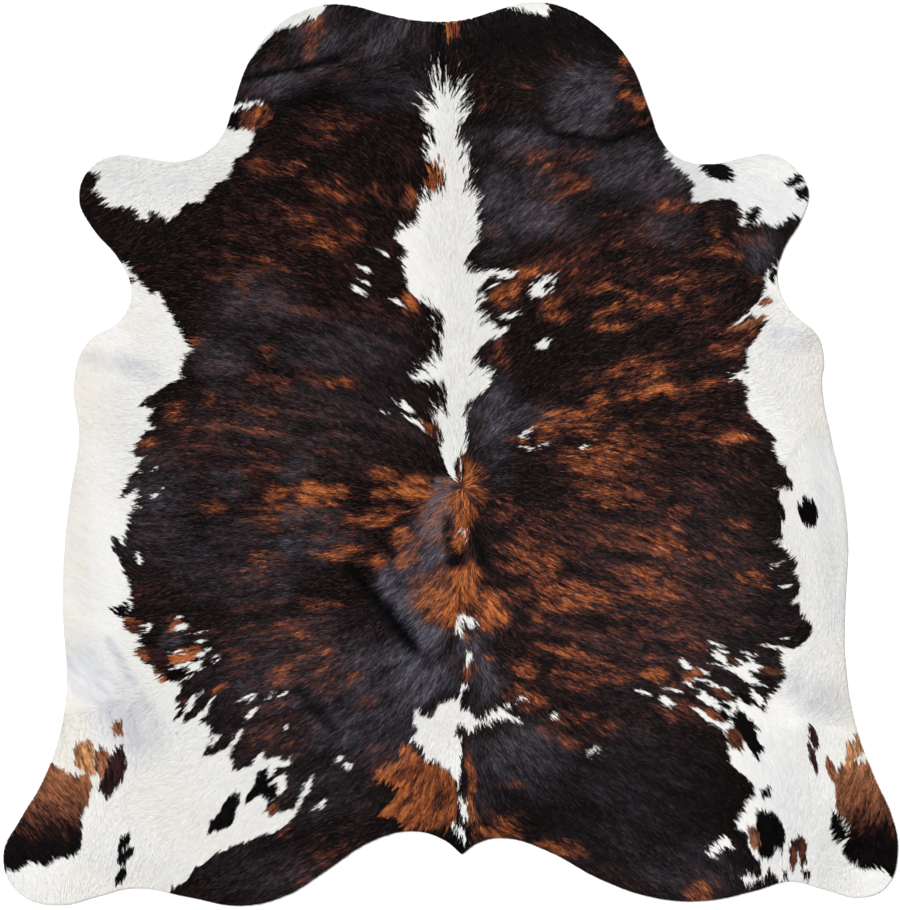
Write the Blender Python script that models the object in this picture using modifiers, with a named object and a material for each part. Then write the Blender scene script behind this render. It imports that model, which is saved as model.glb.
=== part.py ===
"""Cowhide rug: one whole hide, hair side up, lying flat but for a few low buckles.

Metres, +Z up. +Y runs along the spine towards the neck, +X to the right as seen from above.
The underside is the plane z = 0 wherever the hide lies flat.
"""
import math
from collections import namedtuple

import bmesh
import bpy
from mathutils import Vector

MM = 0.001

HIDE_THICKNESS = 5.0 * MM      # about 2 mm of leather under short hair that lies flat
BLANK_CELLS = 30               # the square sheet that the hide is cut from has this many cells a side
CELL = 72.0 * MM               # one cell where the hide lies flat
FOLD_CUTS = 3                  # cuts across a cell under a fold, fine enough for the narrowest fold
EDGE_STEPS = 5                 # straight steps between two points of the edge
CUT_DEPTH = 0.20               # height of the cutting outline, well past the tallest fold
WELD = 0.01 * MM
COAT_COLOUR = (0.030, 0.016, 0.011, 1.0)
COAT_ROUGHNESS = 0.55

# The hide's edge, clockwise from the left corner of the neck, in metres from the hide's middle.
# One smooth curve runs through these points; only the tail is a sharp one.
EdgePoint = namedtuple("EdgePoint", "place across along handle", defaults=("AUTO",))
EDGE = (
    EdgePoint("neck, left side", -0.488, 0.768),
    EdgePoint("neck, left side", -0.450, 0.876),
    EdgePoint("neck, left corner", -0.384, 0.960),
    EdgePoint("neck, left lobe", -0.306, 0.999),
    EdgePoint("neck, left lobe", -0.228, 1.003),
    EdgePoint("neck, left lobe", -0.145, 0.982),
    EdgePoint("neck, hollow", -0.058, 0.967),
    EdgePoint("neck, hollow", 0.030, 0.970),
    EdgePoint("neck, right lobe", 0.112, 0.994),
    EdgePoint("neck, right lobe", 0.180, 1.010),
    EdgePoint("neck, right lobe", 0.256, 0.997),
    EdgePoint("neck, right corner", 0.334, 0.950),
    EdgePoint("neck, right side", 0.400, 0.876),
    EdgePoint("neck, right side", 0.442, 0.774),
    EdgePoint("right armpit", 0.477, 0.690),
    EdgePoint("right armpit", 0.523, 0.655),
    EdgePoint("right foreleg, top", 0.590, 0.647),
    EdgePoint("right foreleg, top", 0.658, 0.662),
    EdgePoint("right foreleg, top", 0.718, 0.669),
    EdgePoint("right foreleg, corner", 0.768, 0.641),
    EdgePoint("right foreleg, end", 0.800, 0.590),
    EdgePoint("right foreleg, end", 0.786, 0.528),
    EdgePoint("right elbow hollow", 0.744, 0.456),
    EdgePoint("right elbow hollow", 0.730, 0.388),
    EdgePoint("right elbow hollow", 0.759, 0.321),
    EdgePoint("right elbow", 0.819, 0.265),
    EdgePoint("right elbow", 0.834, 0.214),
    EdgePoint("right elbow", 0.829, 0.159),
    EdgePoint("right flank", 0.852, 0.028),
    EdgePoint("right flank", 0.877, -0.083),
    EdgePoint("right flank", 0.888, -0.200),
    EdgePoint("right flank", 0.882, -0.330),
    EdgePoint("right stifle", 0.881, -0.450),
    EdgePoint("right hind leg, outer side", 0.904, -0.604),
    EdgePoint("right hind leg, outer side", 0.947, -0.722),
    EdgePoint("right hind leg, outer side", 0.990, -0.820),
    EdgePoint("right hind leg, end", 1.000, -0.890),
    EdgePoint("right hind leg, end", 0.977, -0.966),
    EdgePoint("right hind leg, end", 0.918, -0.992),
    EdgePoint("right hind leg, inner side", 0.836, -0.974),
    EdgePoint("right hind leg, inner side", 0.759, -0.956),
    EdgePoint("right thigh", 0.686, -0.976),
    EdgePoint("right thigh", 0.568, -1.000),
    EdgePoint("right thigh", 0.452, -0.992),
    EdgePoint("right thigh", 0.334, -0.951),
    EdgePoint("rump, right arch", 0.216, -0.888),
    EdgePoint("rump, right arch", 0.118, -0.859),
    EdgePoint("rump, right arch", 0.062, -0.870),
    EdgePoint("tail", 0.025, -0.896, "VECTOR"),
    EdgePoint("rump, left arch", -0.012, -0.865),
    EdgePoint("rump, left arch", -0.084, -0.844),
    EdgePoint("rump, left arch", -0.178, -0.867),
    EdgePoint("left thigh", -0.276, -0.931),
    EdgePoint("left thigh", -0.368, -0.988),
    EdgePoint("left thigh", -0.470, -1.011),
    EdgePoint("left thigh", -0.584, -0.992),
    EdgePoint("left hind leg, inner side", -0.708, -0.971),
    EdgePoint("left hind leg, inner side", -0.792, -0.990),
    EdgePoint("left hind leg, end", -0.874, -1.009),
    EdgePoint("left hind leg, end", -0.964, -0.984),
    EdgePoint("left hind leg, end", -1.000, -0.902),
    EdgePoint("left hind leg, outer side", -0.960, -0.816),
    EdgePoint("left hind leg, outer side", -0.914, -0.738),
    EdgePoint("left hind leg, outer side", -0.873, -0.626),
    EdgePoint("left stifle", -0.857, -0.506),
    EdgePoint("left flank", -0.866, -0.370),
    EdgePoint("left flank", -0.863, -0.212),
    EdgePoint("left flank", -0.848, -0.080),
    EdgePoint("left flank", -0.830, 0.042),
    EdgePoint("left elbow", -0.842, 0.154),
    EdgePoint("left elbow", -0.812, 0.248),
    EdgePoint("left elbow hollow", -0.740, 0.296),
    EdgePoint("left elbow hollow", -0.713, 0.358),
    EdgePoint("left elbow hollow", -0.738, 0.430),
    EdgePoint("left foreleg, end", -0.803, 0.509),
    EdgePoint("left foreleg, end", -0.830, 0.570),
    EdgePoint("left foreleg, corner", -0.805, 0.638),
    EdgePoint("left foreleg, top", -0.746, 0.667),
    EdgePoint("left foreleg, top", -0.678, 0.660),
    EdgePoint("left armpit", -0.612, 0.653),
    EdgePoint("left armpit", -0.543, 0.676),
    EdgePoint("left armpit", -0.505, 0.720),
)

# Each fold is a smooth swell or crease that ends in the flat hide. Its long axis is turned
# anticlockwise from +X by `turn` degrees, and `bow` is how far its ends bend towards its right side.
# Two folds side by side leave a valley between them.
Fold = namedtuple("Fold", "place across along length width turn bow height")
FOLDS = (
    Fold("above the crease, left of the neck", -0.360, 0.905, 0.22, 0.080, 20, 0.010, 0.008),
    Fold("below the crease, left of the neck", -0.376, 0.822, 0.28, 0.110, 17, 0.012, 0.012),
    Fold("above the crease, right of the neck", 0.330, 0.775, 0.26, 0.110, 0, -0.010, 0.009),
    Fold("below the crease, right of the neck", 0.385, 0.655, 0.30, 0.110, 6, -0.012, 0.011),
    Fold("swell behind the right shoulder", 0.160, 0.590, 0.26, 0.150, 8, 0.010, 0.006),
    Fold("buckle along the spine", 0.016, -0.225, 0.36, 0.080, 93, 0.008, 0.009),
    Fold("swell left of the spine", -0.078, -0.322, 0.30, 0.130, 131, -0.015, 0.012),
    Fold("broad swell in the left loin", -0.215, -0.452, 0.40, 0.180, 137, 0.014, 0.009),
    Fold("low swell before the left thigh", -0.372, -0.602, 0.22, 0.130, 152, 0.010, 0.006),
    Fold("swell across the right rump", 0.120, -0.700, 0.22, 0.140, 20, 0.010, 0.006),
    Fold("swell in the left hind leg", -0.768, -0.560, 0.28, 0.180, 130, -0.020, 0.011),
    Fold("swell in the right hind leg", 0.810, -0.550, 0.24, 0.120, 62, 0.015, 0.009),
    Fold("crease in the left elbow", -0.765, 0.222, 0.18, 0.080, -22, 0.008, 0.006),
    Fold("crease in the right elbow", 0.790, 0.262, 0.15, 0.080, 30, -0.008, 0.006),
)


def collection(name):
    """A new collection in the scene."""
    made = bpy.data.collections.new(name)
    bpy.context.scene.collection.children.link(made)
    return made


def coat_material():
    """Short glossy hair, mostly near black."""
    material = bpy.data.materials.new("hair_on_hide")
    material.use_nodes = True
    shader = material.node_tree.nodes["Principled BSDF"]
    shader.inputs["Base Color"].default_value = COAT_COLOUR
    shader.inputs["Roughness"].default_value = COAT_ROUGHNESS
    shader.inputs["Metallic"].default_value = 0.0
    return material


def lift(x, y):
    """How far the folds raise the hide's underside at (x, y)."""
    total = 0.0
    for fold in FOLDS:
        turn = math.radians(fold.turn)
        off_x = x - fold.across
        off_y = y - fold.along
        run = (off_x * math.cos(turn) + off_y * math.sin(turn)) / (fold.length / 2)
        side = off_y * math.cos(turn) - off_x * math.sin(turn) + fold.bow * run * run
        rest = 1.0 - run * run - (side / (fold.width / 2)) ** 2
        total += fold.height * max(0.0, rest) ** 2
    return total


def cutting_outline(cutters):
    """The hide's edge as a thick closed solid, its box centred on the origin."""
    curve = bpy.data.curves.new("hide_edge", "CURVE")
    curve.dimensions = "2D"
    curve.fill_mode = "BOTH"
    curve.extrude = CUT_DEPTH / 2
    curve.resolution_u = EDGE_STEPS
    spline = curve.splines.new("BEZIER")
    spline.bezier_points.add(len(EDGE) - 1)
    for point, row in zip(spline.bezier_points, EDGE):
        point.co = (row.across, row.along, 0.0)
        point.handle_left_type = row.handle
        point.handle_right_type = row.handle
    spline.use_cyclic_u = True
    drawn = bpy.data.objects.new("hide_edge_curve", curve)
    cutters.objects.link(drawn)

    evaluated = drawn.evaluated_get(bpy.context.evaluated_depsgraph_get())
    mesh = bpy.data.meshes.new_from_object(evaluated)
    bpy.data.objects.remove(drawn)
    shape = bmesh.new()
    shape.from_mesh(mesh)
    bmesh.ops.remove_doubles(shape, verts=shape.verts, dist=WELD)
    xs = [vert.co.x for vert in shape.verts]
    ys = [vert.co.y for vert in shape.verts]
    middle = ((min(xs) + max(xs)) / 2, (min(ys) + max(ys)) / 2, 0.0)
    bmesh.ops.translate(shape, verts=shape.verts, vec=[-value for value in middle])
    bmesh.ops.recalc_face_normals(shape, faces=shape.faces)
    shape.to_mesh(mesh)
    shape.free()

    cutter = bpy.data.objects.new("hide_edge", mesh)
    cutter.hide_render = True
    cutter.display_type = "WIRE"
    cutters.objects.link(cutter)
    return cutter


def under_fold(cell):
    """Whether a fold raises any of the points where a cell would be cut."""
    low = cell.calc_center_median().xy - Vector((CELL, CELL)) / 2
    steps = [CELL * step / (FOLD_CUTS + 1) for step in range(FOLD_CUTS + 2)]
    return any(lift(low.x + x, low.y + y) > 0.0 for x in steps for y in steps)


def blank_sheet():
    """A square sheet with the folds raised in it, its cells cut finer under them."""
    mesh = bpy.data.meshes.new("hide")
    sheet = bmesh.new()
    side = BLANK_CELLS * CELL
    bmesh.ops.create_grid(sheet, x_segments=BLANK_CELLS, y_segments=BLANK_CELLS, size=side / 2)
    folded = {edge for cell in sheet.faces if under_fold(cell) for edge in cell.edges}
    bmesh.ops.subdivide_edges(sheet, edges=list(folded), cuts=FOLD_CUTS, use_grid_fill=True)
    for vert in sheet.verts:
        vert.co.z = lift(vert.co.x, vert.co.y)
    sheet.to_mesh(mesh)
    sheet.free()
    return mesh


def hide(parts, cutters):
    """The hide: the folded sheet thickened upwards from its underside and cut to its edge."""
    body = bpy.data.objects.new("hide", blank_sheet())
    body.data.materials.append(coat_material())
    parts.objects.link(body)

    solidify = body.modifiers.new("thickness", "SOLIDIFY")
    solidify.thickness = HIDE_THICKNESS
    solidify.offset = 1.0

    trim = body.modifiers.new("edge", "BOOLEAN")
    trim.operation = "INTERSECT"
    trim.solver = "EXACT"
    trim.object = cutting_outline(cutters)
    return body


def main():
    """Builds the rug in an empty scene."""
    for old in list(bpy.data.objects):
        bpy.data.objects.remove(old)
    hide(collection("cowhide_rug"), collection("cutters"))


main()
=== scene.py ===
"""The looks of the cowhide rug: a suede skin on the frame's hide and its coat of short hair.

Metres, +Z up, +Y along the spine towards the neck. Places on the coat's chart are pixels of the
photograph's 900 x 910 frame, across from its left side and down from its top.
"""
import logging
import math
from dataclasses import dataclass
from enum import Enum
from typing import NamedTuple

import bpy
import numpy as np
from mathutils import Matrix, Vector
from mathutils.bvhtree import BVHTree


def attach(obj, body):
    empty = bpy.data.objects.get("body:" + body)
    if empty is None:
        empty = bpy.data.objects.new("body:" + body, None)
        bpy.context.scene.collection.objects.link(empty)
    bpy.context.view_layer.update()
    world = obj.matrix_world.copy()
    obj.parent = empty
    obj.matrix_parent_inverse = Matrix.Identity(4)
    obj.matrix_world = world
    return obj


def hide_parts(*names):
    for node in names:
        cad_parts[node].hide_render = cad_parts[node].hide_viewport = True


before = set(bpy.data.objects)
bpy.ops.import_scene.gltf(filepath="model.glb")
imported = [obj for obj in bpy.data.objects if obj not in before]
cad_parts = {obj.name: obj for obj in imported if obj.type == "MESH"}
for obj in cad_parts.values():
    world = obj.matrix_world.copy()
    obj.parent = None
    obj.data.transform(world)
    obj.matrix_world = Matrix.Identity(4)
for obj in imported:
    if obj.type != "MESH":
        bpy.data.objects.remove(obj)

MM = 0.001
PHOTO_HEIGHT = 910            # the longer side of the photograph's frame, in pixels
HIDE_WIDTH = 2.0              # across the hind legs
HIDE_WIDTH_PIXELS = 894
MIDDLE_ACROSS = 451.0         # the hide's middle on the chart
MIDDLE_DOWN = 454.3
PIXEL = HIDE_WIDTH / HIDE_WIDTH_PIXELS
CHART_REACH = 1.06            # the chart's fields reach this far from the hide's middle
ROOT_REACH = 1.03             # and the hair's roots are sought this far from it
SPINE_FADE = 60 * MM          # the spine's long hair ends within this distance
NOUGHT = 1e-12                # keeps a division by nothing from failing
SLIVER = 1e-9                 # the same for a distance
SEED = 20
HAIR_COLOUR = "hair_colour"   # the attribute that holds each blade's own colour

logging.basicConfig(level=logging.INFO, format="%(message)s")
log = logging.getLogger("cowhide_rug")

Colour = tuple[float, float, float]


class Tone(Enum):
    """The coat's colours as sRGB hex: those of its hair, and those of its painted sheen, glints and
    shade.
    """

    WHITE = "e2e1de"
    CREAM = "dcd6c9"
    # the bluish grey of the painted shade on the white hair
    PAINTED_BLUE_SHADE = "bfc1c9"
    BLACK = "080506"
    # the grey of the painted sheen on the black hair
    PAINTED_GREY_SHEEN = "656370"
    # the dun of the painted glints, and of the painted sheen on the brown hair
    DUN_GLINT_AND_SHEEN = "7e6259"
    DARK_BROWN = "2a1718"
    RUSSET = "552d20"
    BRINDLE = "894727"
    ORANGE = "b66a38"
    BROWN = "6f3d22"
    RUST = "8f5130"
    TAN = "a4744f"
    FAWN = "7b4e38"
    UMBER = "48291c"
    HOCK = "7f4e36"
    HOCK_TOP = "966445"
    HOCK_LOW = "774832"
    SUEDE = "b9a68c"
    CUT_EDGE = "cbbfae"
    FLOOR = "f7f7f6"


TONE_NUMBERS = {tone: number for number, tone in enumerate(Tone)}


def linear(hex_colour: str) -> Colour:
    """An sRGB hex colour as linear red, green and blue."""
    parts = [int(hex_colour[i:i + 2], 16) / 255 for i in (0, 2, 4)]
    return tuple(v / 12.92 if v <= 0.04045 else ((v + 0.055) / 1.055) ** 2.4 for v in parts)


class Heading(NamedTuple):
    """Which way the hair lies at a place, in degrees anticlockwise from +X."""

    across: float
    down: float
    degrees: float


class Dab(NamedTuple):
    """A small pointed patch of one tone, from one end to the other."""

    tone: Tone
    from_across: float
    from_down: float
    to_across: float
    to_down: float
    width: float


class Patch(NamedTuple):
    """A large patch of one tone. Corners past the hide's edge only close it."""

    place: str
    tone: Tone
    corners: tuple[tuple[float, float], ...]


class Glow(NamedTuple):
    """A soft-edged place on the coat, its four sides, and how strongly it shows."""

    left: float
    top: float
    right: float
    bottom: float
    strength: float = 1.0


class Stroke(NamedTuple):
    """A soft-edged line on the coat, its width, and how strongly it shows."""

    from_across: float
    from_down: float
    to_across: float
    to_down: float
    width: float
    strength: float


HEADINGS = tuple(Heading(*row) for row in (
    # the top, where the hair turns over the neck and runs down and outwards
    (340, 25, 240), (300, 45, 232), (270, 55, 225), (390, 40, 248), (430, 35, 262), (455, 35, 272),
    (500, 35, 290), (550, 35, 305), (590, 50, 312),
    # the meeting line across the neck
    (350, 78, 205), (400, 75, 205), (520, 75, 340), (600, 68, 5),
    # the middle of the neck
    (250, 95, 235), (255, 115, 235), (240, 150, 200), (300, 130, 152), (350, 110, 160), (400, 130, 140),
    (420, 110, 145), (437, 80, 100), (443, 65, 90), (468, 85, 50), (500, 130, 45), (590, 100, 45),
    (640, 130, 40),
    # the left side of the chest
    (270, 180, 155), (350, 200, 145), (420, 200, 120), (300, 240, 165), (370, 280, 150),
    (250, 300, 170), (440, 300, 130), (400, 310, 150),
    # the right side of the chest
    (500, 180, 40), (560, 180, 35), (640, 180, 40), (680, 200, 37), (520, 230, 40), (600, 230, 30),
    (680, 250, 25), (540, 290, 40), (620, 300, 25), (690, 320, 17), (750, 300, 45),
    # the right ribs
    (500, 370, 37), (600, 380, 17), (700, 400, 6), (760, 430, -25), (500, 460, 12), (560, 460, -7),
    (650, 470, -17), (740, 480, -35), (500, 520, -28), (560, 540, -28), (700, 540, -30),
    # the right loin and thigh
    (520, 580, -28), (600, 600, -20), (700, 600, -19), (760, 600, -25), (495, 610, -52),
    (540, 650, -25), (640, 680, -20), (700, 690, -30), (740, 660, -28), (600, 740, -35),
    (520, 750, -50), (760, 740, -58), (715, 790, -35), (650, 840, -37), (520, 845, -25),
    (475, 780, -70),
    # the left ribs
    (400, 360, 132), (380, 360, 145), (300, 380, 160), (200, 370, 172), (160, 400, 192),
    (400, 430, 147), (330, 430, 158), (250, 440, 165), (180, 440, 180), (150, 450, 200),
    (400, 470, 158), (320, 490, 168), (230, 500, 177), (160, 510, 188),
    # the whorl behind the blaze
    (434, 484, 150), (440, 512, 215), (462, 473, 90), (473, 478, 30), (476, 492, -25), (464, 500, 270),
    (450, 490, 200),
    # behind the left ribs
    (440, 540, 225), (350, 530, 185),
    # the left loin and thigh
    (420, 600, 222), (380, 640, 225), (330, 600, 185), (300, 640, 195), (200, 600, 187),
    (170, 640, 187), (180, 610, 205), (250, 680, 198), (200, 700, 227), (350, 700, 217),
    (430, 700, 240), (300, 740, 215), (300, 870, 210), (350, 820, 205), (410, 800, 235),
    (440, 800, 250), (380, 830, 212), (240, 880, 210), (225, 815, 235), (150, 800, 200),
    # the blaze, up along the spine
    (445, 150, 92), (446, 200, 90), (446, 250, 90), (448, 300, 90), (454, 350, 90), (455, 400, 90),
    (455, 440, 90), (424, 105, 145), (425, 150, 135), (418, 210, 130), (402, 240, 140), (410, 280, 140),
    (428, 330, 125), (425, 372, 150), (436, 410, 135), (442, 450, 115), (433, 76, 112), (455, 78, 62),
    (464, 105, 45), (464, 150, 55), (478, 200, 50), (474, 240, 45), (490, 274, 25), (492, 318, 30),
    (486, 345, 40), (485, 382, 35), (468, 410, 55), (466, 445, 60),
    # the white flanks and the legs
    (85, 360, 130), (100, 450, 160), (115, 540, 135), (100, 610, 150), (80, 680, 135), (810, 510, 105),
    (820, 480, 120), (60, 800, 315), (50, 830, 310), (98, 745, 290), (106, 790, 275), (112, 835, 266),
    (116, 878, 262), (812, 740, 280), (818, 770, 280), (832, 772, 290), (800, 850, 275),
    (850, 790, 240), (876, 800, 255), (845, 845, 215), (880, 870, 315), (150, 190, 225),
    (110, 190, 215), (740, 200, 330), (780, 200, 320), (765, 235, 300), (785, 250, 285),
    (775, 275, 300), (820, 600, 80), (820, 700, 60), (800, 400, 60),
))

PATCHES = (
    Patch("sliver at the neck's left corner", Tone.WHITE, (
        (249, 63), (259, 49), (270, 39), (275, 33), (284, 28), (293, 29), (300, 25), (309, 19),
        (314, 22), (319, 18), (327, 8), (310, -6), (262, 12), (236, 52),
    )),
    Patch("sliver at the neck's right lobe", Tone.WHITE, (
        (506, 9), (515, 12), (527, 13), (540, 15), (550, 17), (551, 12), (548, 6), (540, -4), (515, -4),
    )),
    Patch("left foreleg", Tone.WHITE, (
        (226, 127), (240, 130), (257, 128), (254, 138), (247, 154), (234, 161), (229, 178), (215, 186),
        (199, 204), (186, 203), (180, 213), (166, 223), (148, 210), (150, 221), (138, 220), (130, 208),
        (110, 208), (98, 204), (104, 202), (92, 190), (99, 179), (87, 173), (82, 150), (150, 145),
        (200, 140), (218, 122),
    )),
    Patch("left flank and thigh", Tone.WHITE, (
        (122, 260), (134, 272), (143, 285), (153, 294), (159, 291), (166, 306), (177, 326), (190, 350),
        (184, 361), (179, 380), (167, 385), (151, 396), (139, 406), (154, 409), (146, 422), (158, 430),
        (145, 432), (131, 453), (141, 457), (137, 470), (128, 482), (119, 500), (139, 488), (136, 503),
        (126, 529), (124, 547), (113, 536), (113, 548), (129, 580), (132, 605), (124, 621), (122, 623),
        (130, 632), (139, 636), (140, 643), (147, 647), (135, 649), (141, 660), (152, 666), (161, 682),
        (178, 682), (184, 688), (175, 700), (178, 706), (180, 711), (173, 722), (181, 718), (186, 723),
        (197, 717), (204, 724), (210, 728), (210, 741), (203, 757), (220, 752), (229, 749), (231, 760),
        (236, 772), (250, 767), (262, 752), (266, 761), (278, 756), (284, 763), (292, 754), (290, 768),
        (277, 768), (272, 781), (281, 775), (288, 777), (279, 790), (269, 797), (267, 816), (283, 812),
        (293, 811), (299, 799), (304, 785), (315, 773), (309, 789), (302, 804), (291, 823), (278, 832),
        (240, 845), (217, 855), (194, 869), (187, 881), (171, 891), (165, 905), (60, 925), (-10, 900),
        (-10, 800), (40, 700), (50, 500), (60, 380), (80, 330), (110, 300),
    )),
    Patch("right foreleg", Tone.WHITE, (
        (667, 146), (666, 155), (675, 167), (696, 184), (690, 190), (693, 202), (731, 199), (743, 209),
        (740, 227), (762, 223), (776, 230), (792, 218), (806, 216), (815, 218), (822, 180), (800, 150),
        (750, 140), (710, 150), (685, 140),
    )),
    Patch("right flank and thigh", Tone.WHITE, (
        (778, 262), (766, 281), (762, 298), (748, 313), (723, 334), (750, 316), (768, 322), (757, 338),
        (747, 352), (748, 374), (731, 371), (748, 388), (746, 401), (752, 417), (774, 436), (775, 451),
        (794, 487), (776, 487), (786, 518), (780, 525), (784, 539), (777, 541), (797, 563), (794, 574),
        (802, 586), (793, 601), (811, 625), (815, 632), (798, 648), (781, 649), (784, 665), (786, 678),
        (768, 700), (765, 712), (750, 704), (732, 712), (724, 722), (728, 740), (731, 765), (752, 782),
        (755, 792), (743, 815), (735, 829), (743, 832), (749, 838), (748, 846), (753, 857), (761, 864),
        (762, 875), (757, 879), (748, 874), (740, 879), (750, 890), (758, 883), (766, 882), (769, 870),
        (782, 884), (800, 905), (830, 905), (905, 905), (910, 800), (870, 720), (862, 520), (845, 440),
        (836, 360), (800, 300), (795, 255),
    )),
    Patch("rust tuft at the neck", Tone.RUST, (
        (446, 16), (462, 16), (461, 30), (459, 36), (455, 33), (450, 39), (447, 36),
    )),
    Patch("notch in the right body edge", Tone.WHITE, (
        (727, 834), (731, 842), (735, 851), (722, 853), (714, 859), (707, 855), (711, 848), (720, 842),
    )),
    Patch("blaze", Tone.WHITE, (
        (439, 72), (434, 80), (433, 88), (432, 95), (425, 100), (423, 107), (419, 115), (425, 121),
        (436, 131), (429, 137), (425, 146), (422, 156), (428, 162), (440, 165), (445, 172), (445, 181),
        (427, 189), (420, 196), (419, 208), (416, 219), (404, 225), (396, 231), (394, 239), (402, 246),
        (407, 254), (401, 260), (402, 272), (406, 282), (408, 292), (418, 300), (437, 309), (445, 316),
        (446, 323), (429, 325), (437, 334), (443, 341), (434, 354), (409, 375), (416, 382), (431, 381),
        (446, 389), (449, 400), (426, 415), (435, 422), (443, 436), (439, 443), (441, 456), (447, 470),
        (451, 481), (456, 475), (455, 465), (459, 457), (467, 454), (468, 440), (467, 432), (470, 415),
        (468, 403), (484, 394), (496, 378), (488, 366), (477, 364), (480, 348), (489, 341), (503, 337),
        (508, 328), (488, 320), (481, 306), (487, 299), (481, 290), (484, 283), (490, 278), (512, 279),
        (520, 273), (500, 269), (490, 272), (476, 270), (471, 266), (468, 258), (474, 250), (481, 240),
        (484, 228), (477, 211), (482, 198), (481, 192), (464, 181), (477, 174), (470, 168), (471, 158),
        (466, 141), (456, 130), (459, 124), (467, 120), (471, 112), (463, 98), (470, 82), (454, 92),
        (448, 84), (443, 90), (441, 74),
    )),
    Patch("star before the tail", Tone.WHITE, (
        (448, 701), (458, 699), (460, 706), (465, 712), (469, 709), (471, 716), (480, 720), (489, 713),
        (499, 708), (508, 713), (523, 722), (521, 725), (510, 721), (498, 722), (480, 729), (470, 734),
        (463, 729), (457, 729), (455, 738), (463, 738), (462, 755), (461, 776), (459, 795), (456, 783),
        (452, 774), (446, 769), (430, 761), (425, 764), (422, 750), (408, 740), (419, 732), (412, 727),
        (415, 719), (414, 711), (421, 712), (430, 721), (436, 712), (437, 705),
    )),
    Patch("island in the left thigh", Tone.BLACK, (
        (243, 807), (247, 797), (254, 788), (258, 772), (266, 770), (268, 779), (275, 775), (269, 788),
        (277, 783), (277, 797), (268, 800), (261, 795), (254, 799),
    )),
    Patch("blot in the left thigh", Tone.BLACK, (
        (238, 792), (230, 796), (222, 808), (218, 817), (209, 825), (209, 834), (222, 831), (233, 824),
        (237, 810),
    )),
    Patch("tan spot over the left hock", Tone.TAN, (
        (75, 752), (80, 746), (89, 742), (94, 745), (95, 772), (89, 777), (84, 770), (75, 767),
    )),
    Patch("brown spot beside it", Tone.FAWN, (
        (96, 752), (103, 749), (110, 752), (109, 765), (104, 775), (99, 778), (96, 770),
    )),
    Patch("crescent in the left thigh", Tone.DARK_BROWN, (
        (110, 757), (123, 747), (126, 756), (126, 771), (121, 784), (107, 799), (99, 790), (102, 778),
        (108, 768),
    )),
    Patch("wedge in the right thigh", Tone.BLACK, (
        (738, 711), (744, 712), (750, 722), (760, 729), (756, 733), (757, 740), (766, 750), (760, 755),
        (760, 763), (750, 748), (742, 737), (733, 722),
    )),
    Patch("branch in the right thigh", Tone.WHITE, (
        (707, 664), (716, 665), (728, 668), (735, 668), (742, 663), (752, 662), (765, 667), (757, 671),
        (751, 673), (757, 680), (768, 688), (757, 686), (747, 683), (738, 676), (729, 670),
    )),
    Patch("blot before the right thigh", Tone.WHITE, (
        (711, 653), (716, 652), (722, 654), (727, 655), (728, 660), (735, 664), (727, 667), (718, 660),
    )),
    Patch("streak before the right thigh", Tone.WHITE, (
        (697, 696), (703, 691), (708, 694), (714, 700), (724, 702), (738, 701), (744, 699), (749, 705),
        (741, 712), (737, 707), (735, 714), (730, 717), (725, 722), (720, 713), (714, 708), (706, 705),
    )),
    Patch("blot in the right thigh", Tone.BLACK, (
        (757, 820), (758, 813), (764, 812), (778, 817), (786, 834), (783, 855), (776, 849), (774, 858),
        (763, 860), (758, 852), (760, 838), (757, 830),
    )),
    Patch("blot beside the right hock", Tone.BLACK, (
        (833, 812), (839, 817), (841, 825), (845, 830), (847, 838), (842, 843), (835, 841), (833, 833),
        (831, 822),
    )),
    Patch("rust before the tail", Tone.RUST, (
        (401, 744), (410, 745), (424, 762), (443, 768), (453, 777), (460, 801), (457, 822), (448, 830),
        (406, 830), (396, 819), (378, 815), (392, 804), (399, 788), (378, 780), (384, 769), (399, 762),
    )),
    Patch("left hock", Tone.HOCK, (
        (50, 764), (61, 771), (75, 778), (83, 775), (89, 773), (91, 784), (90, 802), (81, 816),
        (83, 836), (82, 848), (73, 857), (57, 860), (46, 865), (31, 862), (18, 869), (6, 874),
        (-8, 870), (10, 820), (35, 775),
    )),
    Patch("right hock", Tone.HOCK, (
        (868, 752), (866, 764), (852, 765), (842, 770), (836, 790), (837, 812), (847, 826), (850, 832),
        (846, 845), (843, 853), (850, 864), (865, 870), (885, 870), (893, 878), (905, 876), (915, 840),
        (890, 770), (878, 745),
    )),
    Patch("tan tongue over the right hock", Tone.TAN, (
        (846, 768), (848, 746), (855, 743), (860, 731), (868, 752), (857, 758), (853, 766),
    )),
)

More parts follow.
